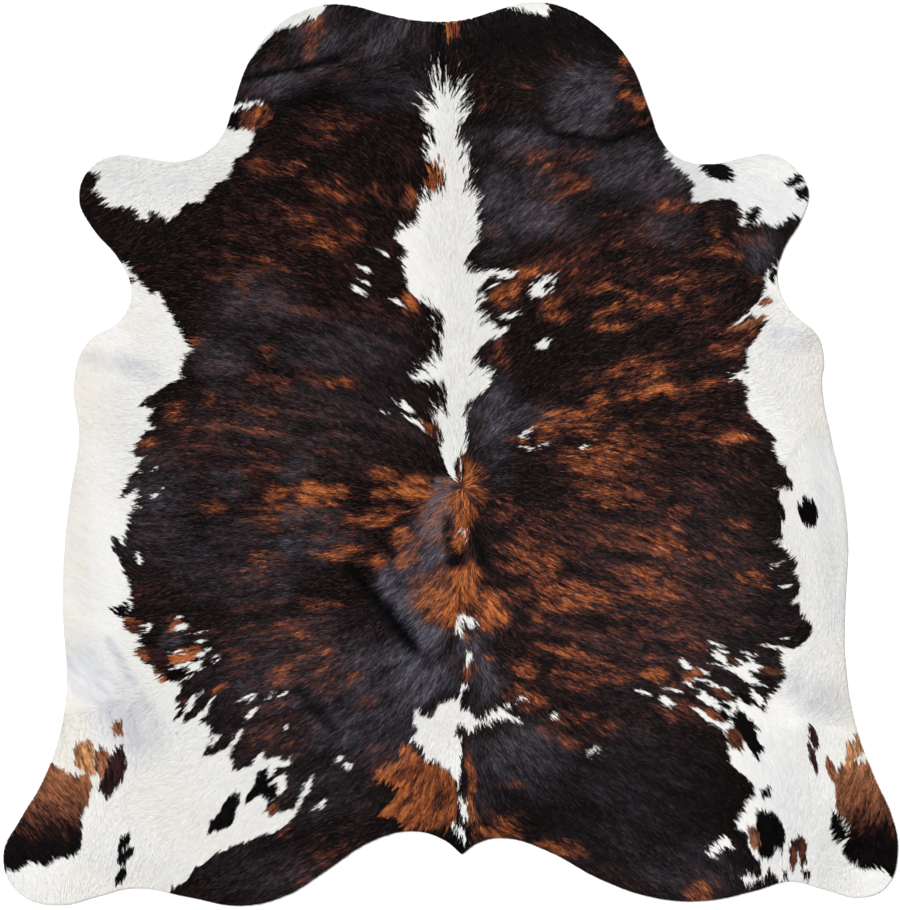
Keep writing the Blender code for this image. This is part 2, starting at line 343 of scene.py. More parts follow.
DABS = tuple(Dab(*row) for row in (
    # the left foreleg
    (Tone.WHITE, 229, 111, 262, 103, 7), (Tone.BROWN, 240, 125, 273, 112, 20),
    (Tone.BLACK, 230, 127, 238, 114, 8), (Tone.BLACK, 128, 285, 133, 278, 6),
    # the left flank
    (Tone.WHITE, 150, 469, 157, 468, 4), (Tone.WHITE, 151, 500, 166, 487, 3),
    (Tone.WHITE, 137, 510, 143, 508, 4), (Tone.WHITE, 137, 474, 143, 471, 3),
    (Tone.WHITE, 137, 566, 139, 552, 8), (Tone.BLACK, 119, 618, 126, 602, 10),
    (Tone.BLACK, 110, 609, 121, 619, 3), (Tone.BROWN, 124, 620, 143, 630, 12),
    (Tone.WHITE, 139, 631, 152, 625, 8), (Tone.WHITE, 173, 619, 184, 617, 4),
    (Tone.RUST, 166, 634, 183, 621, 10), (Tone.WHITE, 175, 632, 188, 625, 7),
    (Tone.WHITE, 190, 635, 209, 631, 2), (Tone.WHITE, 196, 644, 207, 640, 4),
    (Tone.BROWN, 136, 650, 153, 657, 10), (Tone.DARK_BROWN, 149, 652, 170, 666, 15),
    (Tone.BROWN, 156, 670, 164, 682, 8), (Tone.RUST, 170, 661, 203, 649, 14),
    (Tone.WHITE, 170, 653, 184, 651, 4), (Tone.WHITE, 180, 655, 188, 657, 2),
    (Tone.WHITE, 196, 658, 212, 648, 5), (Tone.WHITE, 166, 670, 203, 661, 4),
    (Tone.WHITE, 183, 668, 203, 665, 10), (Tone.BLACK, 166, 677, 186, 674, 9),
    (Tone.WHITE, 181, 682, 204, 667, 2), (Tone.WHITE, 210, 659, 220, 656, 2),
    (Tone.WHITE, 213, 664, 219, 659, 2),
    # the left thigh
    (Tone.WHITE, 182, 719, 197, 693, 6), (Tone.WHITE, 199, 698, 204, 690, 2),
    (Tone.WHITE, 191, 709, 197, 706, 2), (Tone.WHITE, 205, 710, 216, 695, 3),
    (Tone.WHITE, 197, 721, 209, 708, 6), (Tone.WHITE, 227, 754, 243, 730, 5),
    (Tone.WHITE, 210, 746, 220, 735, 6), (Tone.WHITE, 239, 701, 256, 694, 3),
    (Tone.WHITE, 251, 703, 256, 695, 3), (Tone.WHITE, 266, 699, 274, 692, 3),
    (Tone.WHITE, 276, 697, 290, 691, 3), (Tone.WHITE, 247, 720, 259, 707, 4),
    (Tone.WHITE, 284, 733, 289, 725, 4), (Tone.WHITE, 277, 798, 285, 781, 9),
    (Tone.BROWN, 268, 815, 278, 805, 10), (Tone.BLACK, 119, 853, 130, 836, 9),
    (Tone.BLACK, 119, 865, 133, 850, 10), (Tone.BLACK, 116, 885, 127, 869, 9),
    (Tone.FAWN, 116, 735, 122, 723, 10),
    # the right foreleg and flank
    (Tone.BLACK, 701, 163, 735, 178, 16), (Tone.BLACK, 788, 187, 804, 177, 9),
    (Tone.BLACK, 799, 199, 811, 188, 10), (Tone.BLACK, 748, 221, 761, 209, 11),
    (Tone.BLACK, 772, 283, 778, 270, 7), (Tone.FAWN, 760, 304, 772, 299, 8),
    (Tone.FAWN, 736, 330, 766, 319, 8), (Tone.WHITE, 728, 383, 746, 371, 5),
    (Tone.BLACK, 806, 499, 811, 526, 19), (Tone.WHITE, 769, 570, 780, 564, 2),
    (Tone.WHITE, 782, 588, 793, 585, 3),
    # the mottled right thigh
    (Tone.WHITE, 681, 661, 693, 671, 8), (Tone.WHITE, 711, 643, 728, 648, 3),
    (Tone.WHITE, 719, 650, 734, 654, 3), (Tone.WHITE, 741, 652, 757, 656, 4),
    (Tone.WHITE, 745, 656, 756, 662, 3), (Tone.WHITE, 690, 678, 714, 683, 4),
    (Tone.WHITE, 707, 681, 737, 697, 6), (Tone.WHITE, 684, 682, 698, 690, 4),
    (Tone.WHITE, 699, 670, 714, 676, 3), (Tone.WHITE, 659, 698, 679, 708, 9),
    (Tone.WHITE, 664, 689, 687, 694, 4), (Tone.WHITE, 635, 690, 651, 696, 4),
    (Tone.WHITE, 695, 709, 734, 735, 8), (Tone.WHITE, 751, 690, 764, 706, 7),
    (Tone.WHITE, 780, 638, 791, 640, 2), (Tone.WHITE, 763, 645, 784, 650, 4),
    (Tone.BLACK, 740, 693, 751, 706, 6), (Tone.BLACK, 720, 703, 732, 711, 5),
    (Tone.BLACK, 720, 711, 731, 722, 7), (Tone.UMBER, 713, 689, 734, 700, 8),
    (Tone.BROWN, 706, 710, 722, 721, 8), (Tone.BROWN, 727, 656, 740, 667, 6),
    (Tone.UMBER, 761, 671, 782, 673, 9), (Tone.UMBER, 735, 729, 738, 751, 14),
    (Tone.BLACK, 763, 800, 771, 788, 7), (Tone.UMBER, 793, 869, 797, 840, 10),
    (Tone.UMBER, 803, 868, 803, 838, 9), (Tone.DARK_BROWN, 793, 842, 801, 850, 8),
    (Tone.WHITE, 799, 872, 799, 852, 3), (Tone.BLACK, 802, 872, 810, 880, 7),
    (Tone.FAWN, 753, 829, 757, 849, 11), (Tone.DARK_BROWN, 811, 726, 817, 748, 7),
    (Tone.DARK_BROWN, 809, 742, 818, 773, 6), (Tone.FAWN, 828, 758, 838, 787, 9),
    (Tone.BLACK, 784, 875, 789, 883, 4),
    # the long hair at the blaze's top
    (Tone.WHITE, 434, 92, 427, 70, 3), (Tone.WHITE, 437, 88, 433, 58, 3),
    (Tone.WHITE, 442, 90, 438, 60, 3), (Tone.WHITE, 447, 90, 446, 70, 3),
    (Tone.WHITE, 452, 92, 459, 73, 3), (Tone.WHITE, 456, 94, 465, 70, 3),
    (Tone.WHITE, 459, 98, 471, 77, 3), (Tone.WHITE, 461, 106, 472, 91, 3),
    (Tone.WHITE, 427, 104, 416, 92, 3), (Tone.WHITE, 425, 112, 415, 104, 3),
    # beside the blaze
    (Tone.WHITE, 379, 250, 390, 257, 4), (Tone.WHITE, 360, 265, 372, 273, 4),
    (Tone.WHITE, 358, 279, 370, 285, 4), (Tone.WHITE, 348, 285, 368, 296, 5),
    (Tone.WHITE, 530, 293, 553, 282, 17), (Tone.WHITE, 393, 301, 407, 307, 4),
    (Tone.WHITE, 497, 319, 524, 313, 5), (Tone.WHITE, 484, 289, 503, 282, 3),
    (Tone.WHITE, 537, 349, 551, 341, 9), (Tone.WHITE, 398, 402, 416, 413, 7),
    (Tone.WHITE, 379, 409, 389, 413, 4), (Tone.WHITE, 409, 418, 431, 432, 6),
    (Tone.WHITE, 519, 438, 534, 430, 6), (Tone.WHITE, 521, 447, 541, 450, 4),
    (Tone.WHITE, 539, 447, 553, 443, 3), (Tone.WHITE, 579, 448, 589, 447, 4),
    (Tone.BROWN, 424, 425, 443, 435, 9), (Tone.RUST, 424, 187, 446, 169, 12),
    # the spine before the tail
    (Tone.WHITE, 458, 618, 478, 627, 11), (Tone.WHITE, 458, 620, 462, 642, 6),
    (Tone.WHITE, 472, 651, 467, 667, 6), (Tone.WHITE, 459, 703, 463, 684, 4),
    (Tone.WHITE, 462, 684, 469, 691, 4), (Tone.BROWN, 464, 640, 476, 632, 12),
    (Tone.WHITE, 460, 456, 463, 482, 2), (Tone.WHITE, 462, 528, 467, 540, 3),
    (Tone.WHITE, 504, 711, 513, 704, 5), (Tone.WHITE, 517, 703, 526, 698, 5),
    (Tone.WHITE, 551, 719, 560, 714, 6), (Tone.WHITE, 588, 756, 600, 748, 6),
    (Tone.WHITE, 336, 763, 344, 755, 7), (Tone.WHITE, 343, 767, 354, 768, 9),
    (Tone.WHITE, 315, 810, 327, 800, 6), (Tone.WHITE, 461, 796, 466, 828, 8),
    (Tone.BLACK, 455, 830, 461, 856, 20), (Tone.WHITE, 453, 824, 467, 843, 8),
))

# where the brindle shows, and how brown it is there: 0 for black and 1 for orange
STREAKS = tuple(Glow(*row) for row in (
    # the left side, from the neck down
    (302, 12, 334, 46, 0.60), (294, 34, 322, 56, 0.58), (258, 55, 286, 68, 0.46),
    (335, 68, 360, 84, 0.45), (300, 105, 366, 146, 0.48), (238, 156, 296, 186, 0.50),
    (278, 160, 300, 180, 0.58), (288, 154, 310, 170, 0.60), (306, 165, 360, 196, 0.52),
    (360, 185, 400, 205, 0.50), (332, 184, 364, 207, 0.68), (396, 184, 422, 218, 0.78),
    (250, 200, 330, 230, 0.52), (304, 222, 368, 254, 0.66), (176, 236, 300, 270, 0.36),
    (246, 247, 276, 264, 0.62), (190, 260, 320, 302, 0.38), (232, 281, 258, 293, 0.72),
    (284, 286, 306, 297, 0.60), (322, 304, 372, 324, 0.42), (184, 334, 210, 352, 0.62),
    (254, 338, 278, 362, 0.52), (200, 352, 250, 380, 0.28), (196, 386, 222, 406, 0.62),
    (240, 366, 330, 396, 0.52), (296, 376, 366, 394, 0.62), (164, 396, 198, 424, 0.68),
    (200, 398, 312, 418, 0.60), (176, 418, 290, 442, 0.46), (132, 438, 162, 456, 0.50),
    (200, 440, 320, 482, 0.38), (314, 445, 342, 459, 0.68), (366, 466, 402, 484, 0.80),
    (372, 484, 404, 508, 1.04), (388, 478, 446, 508, 1.00), (418, 488, 462, 556, 0.88),
    (360, 510, 408, 525, 0.84), (420, 500, 438, 524, 0.85), (430, 478, 454, 506, 0.86),
    (262, 489, 300, 505, 0.80), (288, 484, 346, 508, 1.04), (320, 482, 354, 502, 0.90),
    (226, 474, 262, 492, 0.50), (338, 508, 412, 526, 0.88), (338, 522, 362, 538, 0.58),
    (312, 524, 338, 540, 0.46), (384, 533, 412, 551, 0.92), (364, 554, 388, 574, 0.66),
    (188, 495, 226, 514, 0.60), (250, 500, 330, 536, 0.46), (316, 540, 374, 566, 0.62),
    (246, 550, 272, 566, 0.66), (210, 530, 300, 604, 0.30), (298, 596, 346, 613, 0.62),
    (262, 608, 300, 634, 0.46), (296, 638, 314, 650, 0.78), (312, 648, 338, 659, 0.78),
    (322, 660, 340, 674, 0.62), (226, 650, 262, 664, 0.64), (262, 662, 298, 682, 0.70),
    (208, 681, 232, 695, 0.92), (338, 667, 366, 684, 0.66), (354, 697, 382, 710, 0.62),
    (300, 660, 340, 676, 0.50), (232, 700, 330, 760, 0.36), (128, 560, 146, 600, 0.22),
    (156, 610, 200, 634, 0.60), (150, 690, 200, 700, 0.40), (240, 780, 300, 800, 0.40),
    (280, 830, 400, 890, 0.36),
    # the right side, from the neck down
    (614, 58, 634, 72, 0.72), (610, 70, 640, 90, 0.42), (626, 92, 648, 108, 0.80),
    (632, 109, 656, 130, 0.74), (470, 40, 610, 68, 0.36), (468, 76, 492, 112, 0.42),
    (500, 148, 570, 174, 0.54), (558, 148, 602, 164, 0.50), (530, 166, 600, 204, 0.58),
    (538, 168, 598, 194, 0.72), (640, 202, 704, 218, 0.60), (480, 214, 508, 242, 0.50),
    (584, 208, 632, 224, 0.46), (560, 236, 654, 254, 0.48), (700, 212, 724, 234, 0.80),
    (700, 239, 738, 263, 0.66), (726, 252, 746, 270, 0.60), (734, 234, 762, 252, 0.44),
    (748, 272, 766, 286, 0.45), (514, 262, 540, 284, 0.84), (490, 284, 518, 313, 1.00),
    (397, 296, 422, 318, 1.00), (538, 300, 570, 336, 0.84), (576, 280, 640, 298, 0.70),
    (507, 284, 530, 302, 0.96), (640, 272, 730, 290, 0.68), (594, 285, 656, 300, 0.74),
    (672, 292, 696, 310, 0.62), (594, 302, 630, 338, 0.86), (588, 276, 618, 298, 1.00),
    (738, 326, 764, 342, 0.76), (628, 300, 674, 320, 0.56), (672, 290, 726, 344, 0.42),
    (492, 342, 516, 368, 0.52), (620, 352, 668, 377, 0.88), (584, 364, 694, 386, 0.72),
    (716, 326, 746, 372, 0.44), (718, 320, 740, 338, 0.62), (606, 382, 694, 403, 0.84),
    (690, 378, 744, 397, 0.60), (530, 402, 626, 419, 0.62), (528, 416, 604, 440, 0.72),
    (536, 430, 566, 448, 0.86), (580, 438, 608, 454, 0.90), (586, 388, 612, 408, 0.84),
    (508, 435, 534, 447, 0.70), (590, 424, 654, 466, 0.78), (554, 444, 644, 482, 0.74),
    (718, 424, 756, 448, 0.74), (566, 478, 672, 518, 0.62), (668, 500, 694, 526, 0.62),
    (640, 484, 670, 504, 0.72), (478, 494, 528, 522, 0.60), (500, 500, 622, 532, 0.44),
    (626, 522, 694, 560, 0.82), (498, 528, 572, 582, 0.68), (536, 556, 562, 582, 0.92),
    (552, 597, 584, 621, 1.04), (530, 570, 558, 594, 0.86), (544, 586, 572, 604, 0.96),
    (566, 608, 590, 626, 0.70), (652, 534, 698, 568, 0.68), (690, 546, 714, 564, 0.76),
    (628, 558, 664, 580, 0.74), (716, 518, 754, 537, 0.54), (728, 568, 780, 594, 0.66),
    (636, 576, 684, 600, 0.56), (640, 599, 676, 612, 0.74), (694, 611, 708, 619, 0.70),
    (536, 578, 624, 622, 0.80), (598, 583, 694, 606, 0.68), (474, 588, 518, 636, 0.88),
    (522, 604, 564, 622, 0.62), (510, 584, 534, 606, 0.74), (530, 645, 612, 662, 0.68),
    (503, 658, 538, 682, 0.78), (548, 660, 576, 680, 0.72), (556, 654, 642, 694, 0.56),
    (636, 666, 670, 682, 0.88), (678, 669, 706, 683, 0.88), (640, 651, 674, 662, 0.56),
    (672, 643, 712, 654, 0.58), (662, 680, 686, 690, 0.66), (482, 655, 500, 669, 0.88),
    (506, 684, 564, 712, 0.64), (640, 694, 724, 724, 0.48), (546, 708, 606, 728, 0.54),
    (478, 490, 790, 690, 0.40), (530, 350, 780, 520, 0.35), (500, 200, 740, 330, 0.32),
    (180, 200, 390, 330, 0.34), (150, 390, 440, 520, 0.31), (200, 590, 380, 720, 0.34),
    (560, 730, 620, 760, 0.36), (660, 860, 730, 900, 0.30), (480, 860, 560, 880, 0.30),
    (460, 752, 476, 800, 0.96), (536, 724, 562, 744, 0.50), (556, 730, 590, 754, 0.70),
    (588, 722, 620, 742, 0.54), (466, 802, 524, 852, 0.66), (482, 811, 526, 839, 1.00),
    (464, 796, 480, 826, 0.84), (505, 842, 590, 864, 0.84), (550, 836, 586, 862, 0.90),
    (508, 822, 532, 842, 0.72), (486, 780, 534, 792, 0.60), (684, 881, 714, 903, 0.60),
    (358, 738, 396, 790, 0.58), (274, 818, 300, 838, 0.74),
    # the whorl and the spine behind it
    (446, 470, 482, 545, 0.96), (444, 474, 464, 492, 0.94), (458, 460, 484, 494, 1.06),
    (450, 482, 480, 534, 1.00), (446, 474, 462, 490, 1.06), (444, 524, 468, 550, 1.00),
    (442, 562, 466, 586, 1.06), (470, 486, 494, 510, 0.94), (392, 546, 422, 570, 0.80),
    (410, 574, 444, 622, 0.92), (426, 566, 462, 630, 1.06), (404, 530, 432, 552, 0.80),
    (446, 562, 484, 610, 1.12), (436, 596, 470, 628, 1.06), (458, 665, 473, 686, 1.00),
))

# painted sheen: grey gloss painted on the black hair where it catches the light, and dun gloss on the
# brown hair
PAINTED_SHEENS = tuple(Glow(*row) for row in (
    (246, 68, 306, 100, 0.72), (350, 20, 430, 60, 0.55), (558, 64, 614, 132, 0.90),
    (476, 124, 560, 160, 0.75), (590, 146, 696, 200, 0.68), (478, 176, 520, 240, 0.70),
    (500, 200, 580, 240, 0.75), (484, 238, 514, 264, 0.55), (340, 70, 420, 104, 0.55),
    (640, 215, 690, 245, 0.45), (216, 280, 296, 336, 0.52), (280, 320, 400, 380, 0.28),
    (190, 384, 400, 470, 0.26), (110, 450, 200, 560, 0.36), (230, 740, 370, 830, 0.26),
    (640, 840, 740, 900, 0.30), (280, 456, 320, 486, 0.75), (284, 506, 320, 524, 0.75),
    (262, 532, 314, 552, 0.70), (214, 474, 246, 496, 0.60), (196, 340, 244, 384, 0.50),
    (520, 164, 556, 196, 0.60), (220, 620, 380, 740, 0.36), (424, 566, 452, 612, 0.60),
    (462, 790, 500, 820, 0.65), (280, 505, 350, 560, 0.42), (270, 575, 296, 606, 0.60),
    (428, 498, 452, 530, 4.00), (418, 518, 450, 546, 3.60), (434, 480, 452, 506, 3.00),
    (404, 532, 434, 556, 0.95), (376, 572, 400, 604, 1.40), (394, 594, 424, 634, 1.40),
    (412, 618, 444, 646, 1.40), (392, 548, 432, 624, 1.10), (422, 546, 446, 568, 1.70),
    (384, 636, 450, 704, 1.45), (330, 640, 400, 700, 0.70), (300, 680, 440, 760, 0.64),
    (456, 624, 486, 660, 0.80), (466, 655, 498, 706, 0.76), (476, 730, 565, 800, 0.72),
    (474, 385, 514, 466, 0.80), (490, 400, 560, 430, 0.40), (170, 520, 300, 600, 0.35),
    (745, 235, 775, 265, 0.55), (160, 625, 190, 642, 0.60), (220, 682, 260, 700, 0.50),
    (292, 14, 344, 70, 0.60), (560, 500, 790, 700, 0.16), (560, 740, 700, 860, 0.30),
    (200, 840, 330, 895, 0.30),
))

# troughs and creases, where the coat turns away from the light: painted shade makes the hair there
# darker and less brown, with less painted sheen
CREASES = tuple(Stroke(*row) for row in (
    (241, 81, 262, 76, 7, 1.00), (262, 76, 300, 69, 5, 1.00), (300, 69, 338, 58, 8, 1.00),
    (548, 133, 612, 141, 5, 1.00), (612, 141, 656, 124, 6, 1.00), (350, 568, 372, 594, 11, 0.85),
    (372, 594, 388, 614, 15, 1.00), (388, 614, 414, 650, 14, 1.00), (414, 650, 430, 664, 10, 0.50),
    (446, 544, 458, 562, 12, 0.80), (298, 690, 333, 728, 12, 0.60), (500, 40, 600, 40, 50, 0.60),
    (480, 120, 550, 128, 12, 0.50), (446, 520, 452, 566, 10, 0.90), (470, 520, 484, 560, 10, 0.60),
    (436, 22, 442, 70, 8, 0.70), (470, 810, 740, 810, 110, 0.45), (180, 866, 300, 850, 40, 0.35),
    (290, 100, 400, 92, 22, 0.40), (600, 60, 618, 66, 6, 0.70), (440, 700, 470, 700, 20, 0.30),
))

# painted shade: where the white hair is painted bluish grey for the shade in its folds
PAINTED_WHITE_SHADES = tuple(Stroke(*row) for row in (
    (72, 655, 140, 738, 46, 0.75), (108, 640, 158, 726, 9, 0.80), (152, 706, 140, 745, 9, 0.60),
    (800, 690, 850, 712, 40, 0.55), (84, 352, 150, 372, 22, 0.55), (780, 338, 822, 336, 20, 0.55),
    (66, 470, 88, 600, 30, 0.25), (110, 178, 220, 182, 40, 0.25), (100, 860, 180, 880, 30, 0.20),
    (820, 440, 838, 620, 24, 0.30), (690, 172, 800, 222, 60, 0.34), (780, 770, 800, 860, 60, 0.30),
    (70, 330, 110, 420, 60, 0.14),
))

# where the white hair is yellowish
CREAMY = tuple(Stroke(*row) for row in (
    (84, 350, 90, 420, 44, 0.50), (78, 430, 72, 640, 26, 0.50), (66, 710, 74, 770, 40, 0.55),
    (818, 310, 824, 420, 30, 0.50), (850, 650, 862, 770, 34, 0.50), (70, 880, 160, 886, 24, 0.30),
    (150, 790, 200, 840, 60, 0.20), (110, 300, 140, 330, 20, 0.40),
))


def chart_place(across: float, down: float) -> tuple[float, float]:
    """A place on the chart in metres from the hide's middle."""
    return (across - MIDDLE_ACROSS) * PIXEL, (MIDDLE_DOWN - down) * PIXEL


def places_of(mesh: bpy.types.Mesh) -> np.ndarray:
    """One row of x, y and z for each vertex of a mesh.

    Args:
        mesh: The mesh to read.

    Returns:
        The vertices' places, in the mesh's own order.
    """
    points = np.empty(len(mesh.vertices) * 3)
    mesh.vertices.foreach_get("co", points)
    return points.reshape(-1, 3)


@dataclass
class Field:
    """Values on a square grid over the hide.

    Attributes:
        values: One row of values for each step along +Y, with one or more values at each point.
        step: Distance between two points of the grid.
    """

    values: np.ndarray
    step: float

    @staticmethod
    def points(step: float) -> tuple[np.ndarray, np.ndarray]:
        """The x and y of every point of a grid with this step."""
        side = np.arange(-CHART_REACH, CHART_REACH + step, step)
        return np.meshgrid(side, side)

    def at(self, x: np.ndarray, y: np.ndarray) -> np.ndarray:
        """Reads the field between its points.

        Args:
            x: Places along +X.
            y: Places along +Y.

        Returns:
            The value at each place, or several values where the field has them.
        """
        last = self.values.shape[0] - 1.001     # each place still has a next point
        u = np.clip((x + CHART_REACH) / self.step, 0.0, last)
        v = np.clip((y + CHART_REACH) / self.step, 0.0, last)
        i, j = u.astype(int), v.astype(int)
        fu, fv = u - i, v - j
        if self.values.ndim == 3:
            fu, fv = fu[..., None], fv[..., None]
        low = self.values[j, i] * (1 - fu) + self.values[j, i + 1] * fu
        high = self.values[j + 1, i] * (1 - fu) + self.values[j + 1, i + 1] * fu
        return low * (1 - fv) + high * fv

    def nearest(self, x: np.ndarray, y: np.ndarray) -> np.ndarray:
        """The value at the point of the grid that is nearest to each place.

        Args:
            x: Places along +X.
            y: Places along +Y.

        Returns:
            The value at each place, with nothing smoothed.
        """
        last = self.values.shape[0] - 1
        i = np.clip(np.rint((x + CHART_REACH) / self.step).astype(int), 0, last)
        j = np.clip(np.rint((y + CHART_REACH) / self.step).astype(int), 0, last)
        return self.values[j, i]


class HideShape:
    """The frame's hide: its outline and how far its folds lift it."""

    lift_step = 10 * MM         # between the points where the folds are measured
    edge_step = 5 * MM          # and those where the way to the outline is
    weld = 0.01 * MM            # vertices closer than this are one

    def __init__(self, node: bpy.types.Object) -> None:
        """Reads the hide's underside.

        Args:
            node: The frame's node for the hide.
        """
        points = places_of(node.data)
        keys = np.rint(points / self.weld).astype(np.int64)
        _, first, welded = np.unique(keys, axis=0, return_index=True, return_inverse=True)
        points = points[first]
        node.data.calc_loop_triangles()
        corners = np.empty(len(node.data.loop_triangles) * 3, dtype=np.int64)
        node.data.loop_triangles.foreach_get("vertices", corners)
        corners = welded.ravel()[corners].reshape(-1, 3)
        a, b, c = (points[corners[:, k]] for k in range(3))
        normal = np.cross(b - a, c - a)
        normal /= np.linalg.norm(normal, axis=1, keepdims=True) + NOUGHT
        used, under = np.unique(corners[normal[:, 2] < -0.5], return_inverse=True)
        self.points, self.under = points[used], under.reshape(-1, 3)
        self.tree = BVHTree.FromPolygons(self.points.tolist(), self.under.tolist())
        self.edges = self.edges_of(self.under)
        self.rim = np.hstack([self.points[self.edges[:, 0], :2], self.points[self.edges[:, 1], :2]])
        self.lift = self.lift_field()
        self.depth = self.depth_field()

    @staticmethod
    def edges_of(under: np.ndarray) -> np.ndarray:
        """The outline's straight steps.

        Args:
            under: The vertex numbers of each triangle of the underside.

        Returns:
            The two vertex numbers of each step, in the order that its triangle has them.
        """
        edges = np.concatenate([under[:, [0, 1]], under[:, [1, 2]], under[:, [2, 0]]])
        pairs = np.sort(edges, axis=1)
        _, first, count = np.unique(pairs, axis=0, return_index=True, return_counts=True)
        return edges[first[count == 1]]

    def lift_field(self) -> Field:
        """How high the underside lies above the floor.

        Returns:
            A field of heights, 0 beyond the outline.
        """
        x, y = Field.points(self.lift_step)
        down = Vector((0.0, 0.0, -1.0))
        heights = np.zeros(x.size)
        for k, (px, py) in enumerate(zip(x.ravel(), y.ravel())):
            hit = self.tree.ray_cast(Vector((px, py, 1.0)), down)[0]
            if hit is not None:
                heights[k] = hit.z
        return Field(heights.reshape(x.shape), self.lift_step)

    def depth_field(self) -> Field:
        """How far inside the outline each point is, and below zero outside it.

        Returns:
            A field of distances to the outline.
        """
        x, y = Field.points(self.edge_step)
        x0, y0, x1, y1 = (self.rim[:, k][:, None] for k in range(4))
        run_x, run_y = x1 - x0, y1 - y0
        square = run_x ** 2 + run_y ** 2 + SLIVER ** 2
        slope = run_x / np.where(run_y == 0, NOUGHT, run_y)
        depth = np.empty(x.shape)
        for row in range(x.shape[0]):
            px, py = x[row][None, :], y[row][None, :]
            t = np.clip(((px - x0) * run_x + (py - y0) * run_y) / square, 0.0, 1.0)
            near = np.hypot(px - x0 - t * run_x, py - y0 - t * run_y).min(axis=0)
            crosses = ((y0 > py) != (y1 > py)) & (px < x0 + slope * (py - y0))
            inside = crosses.sum(axis=0) % 2 == 1
            depth[row] = np.where(inside, near, -near)
        return Field(depth, self.edge_step)

    def outward(self, x: np.ndarray, y: np.ndarray) -> tuple[np.ndarray, np.ndarray]:
        """The x and y of the way out of the hide from each place.

        Args:
            x: Places along +X.
            y: Places along +Y.

        Returns:
            Two values for each place, which together are 1 long.
        """
        out_x = self.depth.at(x - self.edge_step, y) - self.depth.at(x + self.edge_step, y)
        out_y = self.depth.at(x, y - self.edge_step) - self.depth.at(x, y + self.edge_step)
        length = np.hypot(out_x, out_y) + SLIVER
        return out_x / length, out_y / length


class HairFlow:
    """Which way the hair lies over the whole hide."""

    step = 15 * MM
    reach = 9 * PIXEL           # a heading holds this far round its place

    def __init__(self, upright: float = 1.0) -> None:
        """Spreads the headings over the hide, the nearest ones most.

        Args:
            upright: How much of each heading's part along the spine is kept.
        """
        x, y = Field.points(self.step)
        east, north = np.zeros(x.shape), np.zeros(x.shape)
        for heading in HEADINGS:
            hx, hy = chart_place(heading.across, heading.down)
            near = 1.0 / ((x - hx) ** 2 + (y - hy) ** 2 + self.reach ** 2) ** 2
            east += near * math.cos(math.radians(heading.degrees))
            north += near * math.sin(math.radians(heading.degrees)) * upright
        length = np.hypot(east, north) + NOUGHT
        self.field = Field(np.dstack([east / length, north / length]), self.step)

    def at(self, x: np.ndarray, y: np.ndarray) -> np.ndarray:
        """The hair's direction at each place, as unit x and y."""
        way = self.field.at(x, y)
        return way / (np.linalg.norm(way, axis=-1, keepdims=True) + NOUGHT)


class Noise:
    """Even noise for the coat's irregularities, the same each run."""

    cloud_spreads = 3.0         # a cloud is this many of its spreads across
    strides = 2.5               # combing takes this many strides across a streak

    def __init__(self, step: float, seed: int) -> None:
        """Makes the grid that the noise is drawn on.

        Args:
            step: Distance between two points of the grid.
            seed: Starts the sequence.
        """
        self.step = step
        self.side = Field.points(step)[0].shape[0]
        self.rng = np.random.default_rng(seed)

    def cloudy(self, size: float) -> Field:
        """Noise with soft clouds of a given size.

        Args:
            size: About the distance from one cloud to the next.

        Returns:
            A field with mean 0 and standard deviation 1.
        """
        white = self.rng.standard_normal((self.side, self.side))
        wave = np.fft.fftfreq(self.side, self.step)
        spread = size / self.cloud_spreads
        soften = np.exp(-2.0 * (math.pi * spread) ** 2 * (wave[:, None] ** 2 + wave[None, :] ** 2))
        cloud = np.real(np.fft.ifft2(np.fft.fft2(white) * soften))
        return Field((cloud - cloud.mean()) / cloud.std(), self.step)

    def combed(self, size: float, length: float, flow: HairFlow) -> Field:
        """Cloudy noise drawn out along the hair.

        Args:
            size: Width of a streak.
            length: Length of a streak.
            flow: Which way the hair lies.

        Returns:
            A field with mean 0 and standard deviation 1.
        """
        cloud = self.cloudy(size)
        x, y = Field.points(self.step)
        total = cloud.values.copy()
        stride = size / self.strides
        for sense in (1.0, -1.0):
            px, py = x.copy(), y.copy()
            for _ in range(max(2, round(length / 2 / stride))):
                way = flow.field.nearest(px, py)
                px += sense * stride * way[..., 0]
                py += sense * stride * way[..., 1]
                total += cloud.nearest(px, py)
        return Field((total - total.mean()) / total.std(), self.step)


class Unevenness(NamedTuple):
    """How much each kind of unevenness counts in one look of the hair."""

    broad: float
    fine: float
    strand: float
    jitter: float


@dataclass
class Reading:
    """What the chart and the noise say at each hair.

    Attributes:
        x: Places along +X.
        y: Places along +Y.
        mark: The number of the chart's tone there, and -1 where it has no patch or dab.
        broad: The brindle's stripes.
        fine: The finer streaks in the stripes.
        strand: The single strands.
        crease: How deep in a crease the place lies, from 0 to 1.
        jitter: How much browner the hair is than its place, mostly from -1 to 1.
        glint: How strong the hair's painted glint is, from 0 to 1.
    """

    x: np.ndarray
    y: np.ndarray
    mark: np.ndarray
    broad: np.ndarray
    fine: np.ndarray
    strand: np.ndarray
    crease: np.ndarray
    jitter: np.ndarray
    glint: np.ndarray

    def uneven(self, by: Unevenness) -> np.ndarray:
        """The hairs' unevenness, each kind counted as much as it is told to."""
        woven = by.broad * self.broad + by.fine * self.fine
        return woven + by.strand * self.strand + by.jitter * self.jitter

    def has(self, *tones: Tone) -> np.ndarray:
        """Whether the chart has one of some tones at each hair."""
        return np.isin(self.mark, [TONE_NUMBERS[tone] for tone in tones])


def along_spine(x: np.ndarray, y: np.ndarray, width: float, middle: float, least: float) -> np.ndarray:
    """How much of the spine's long hair grows at each place, less behind the hide's middle.

    Args:
        x: Places along +X.
        y: Places along +Y.
        width: How far the long hair reaches from the spine.
        middle: Its share at the hide's middle.
        least: Its share at the tail.

    Returns:
        A share from 0 to 1 at each place.
    """
    return np.exp(-(x / width) ** 2) * np.clip(middle + y / SPINE_FADE, least, 1.0)


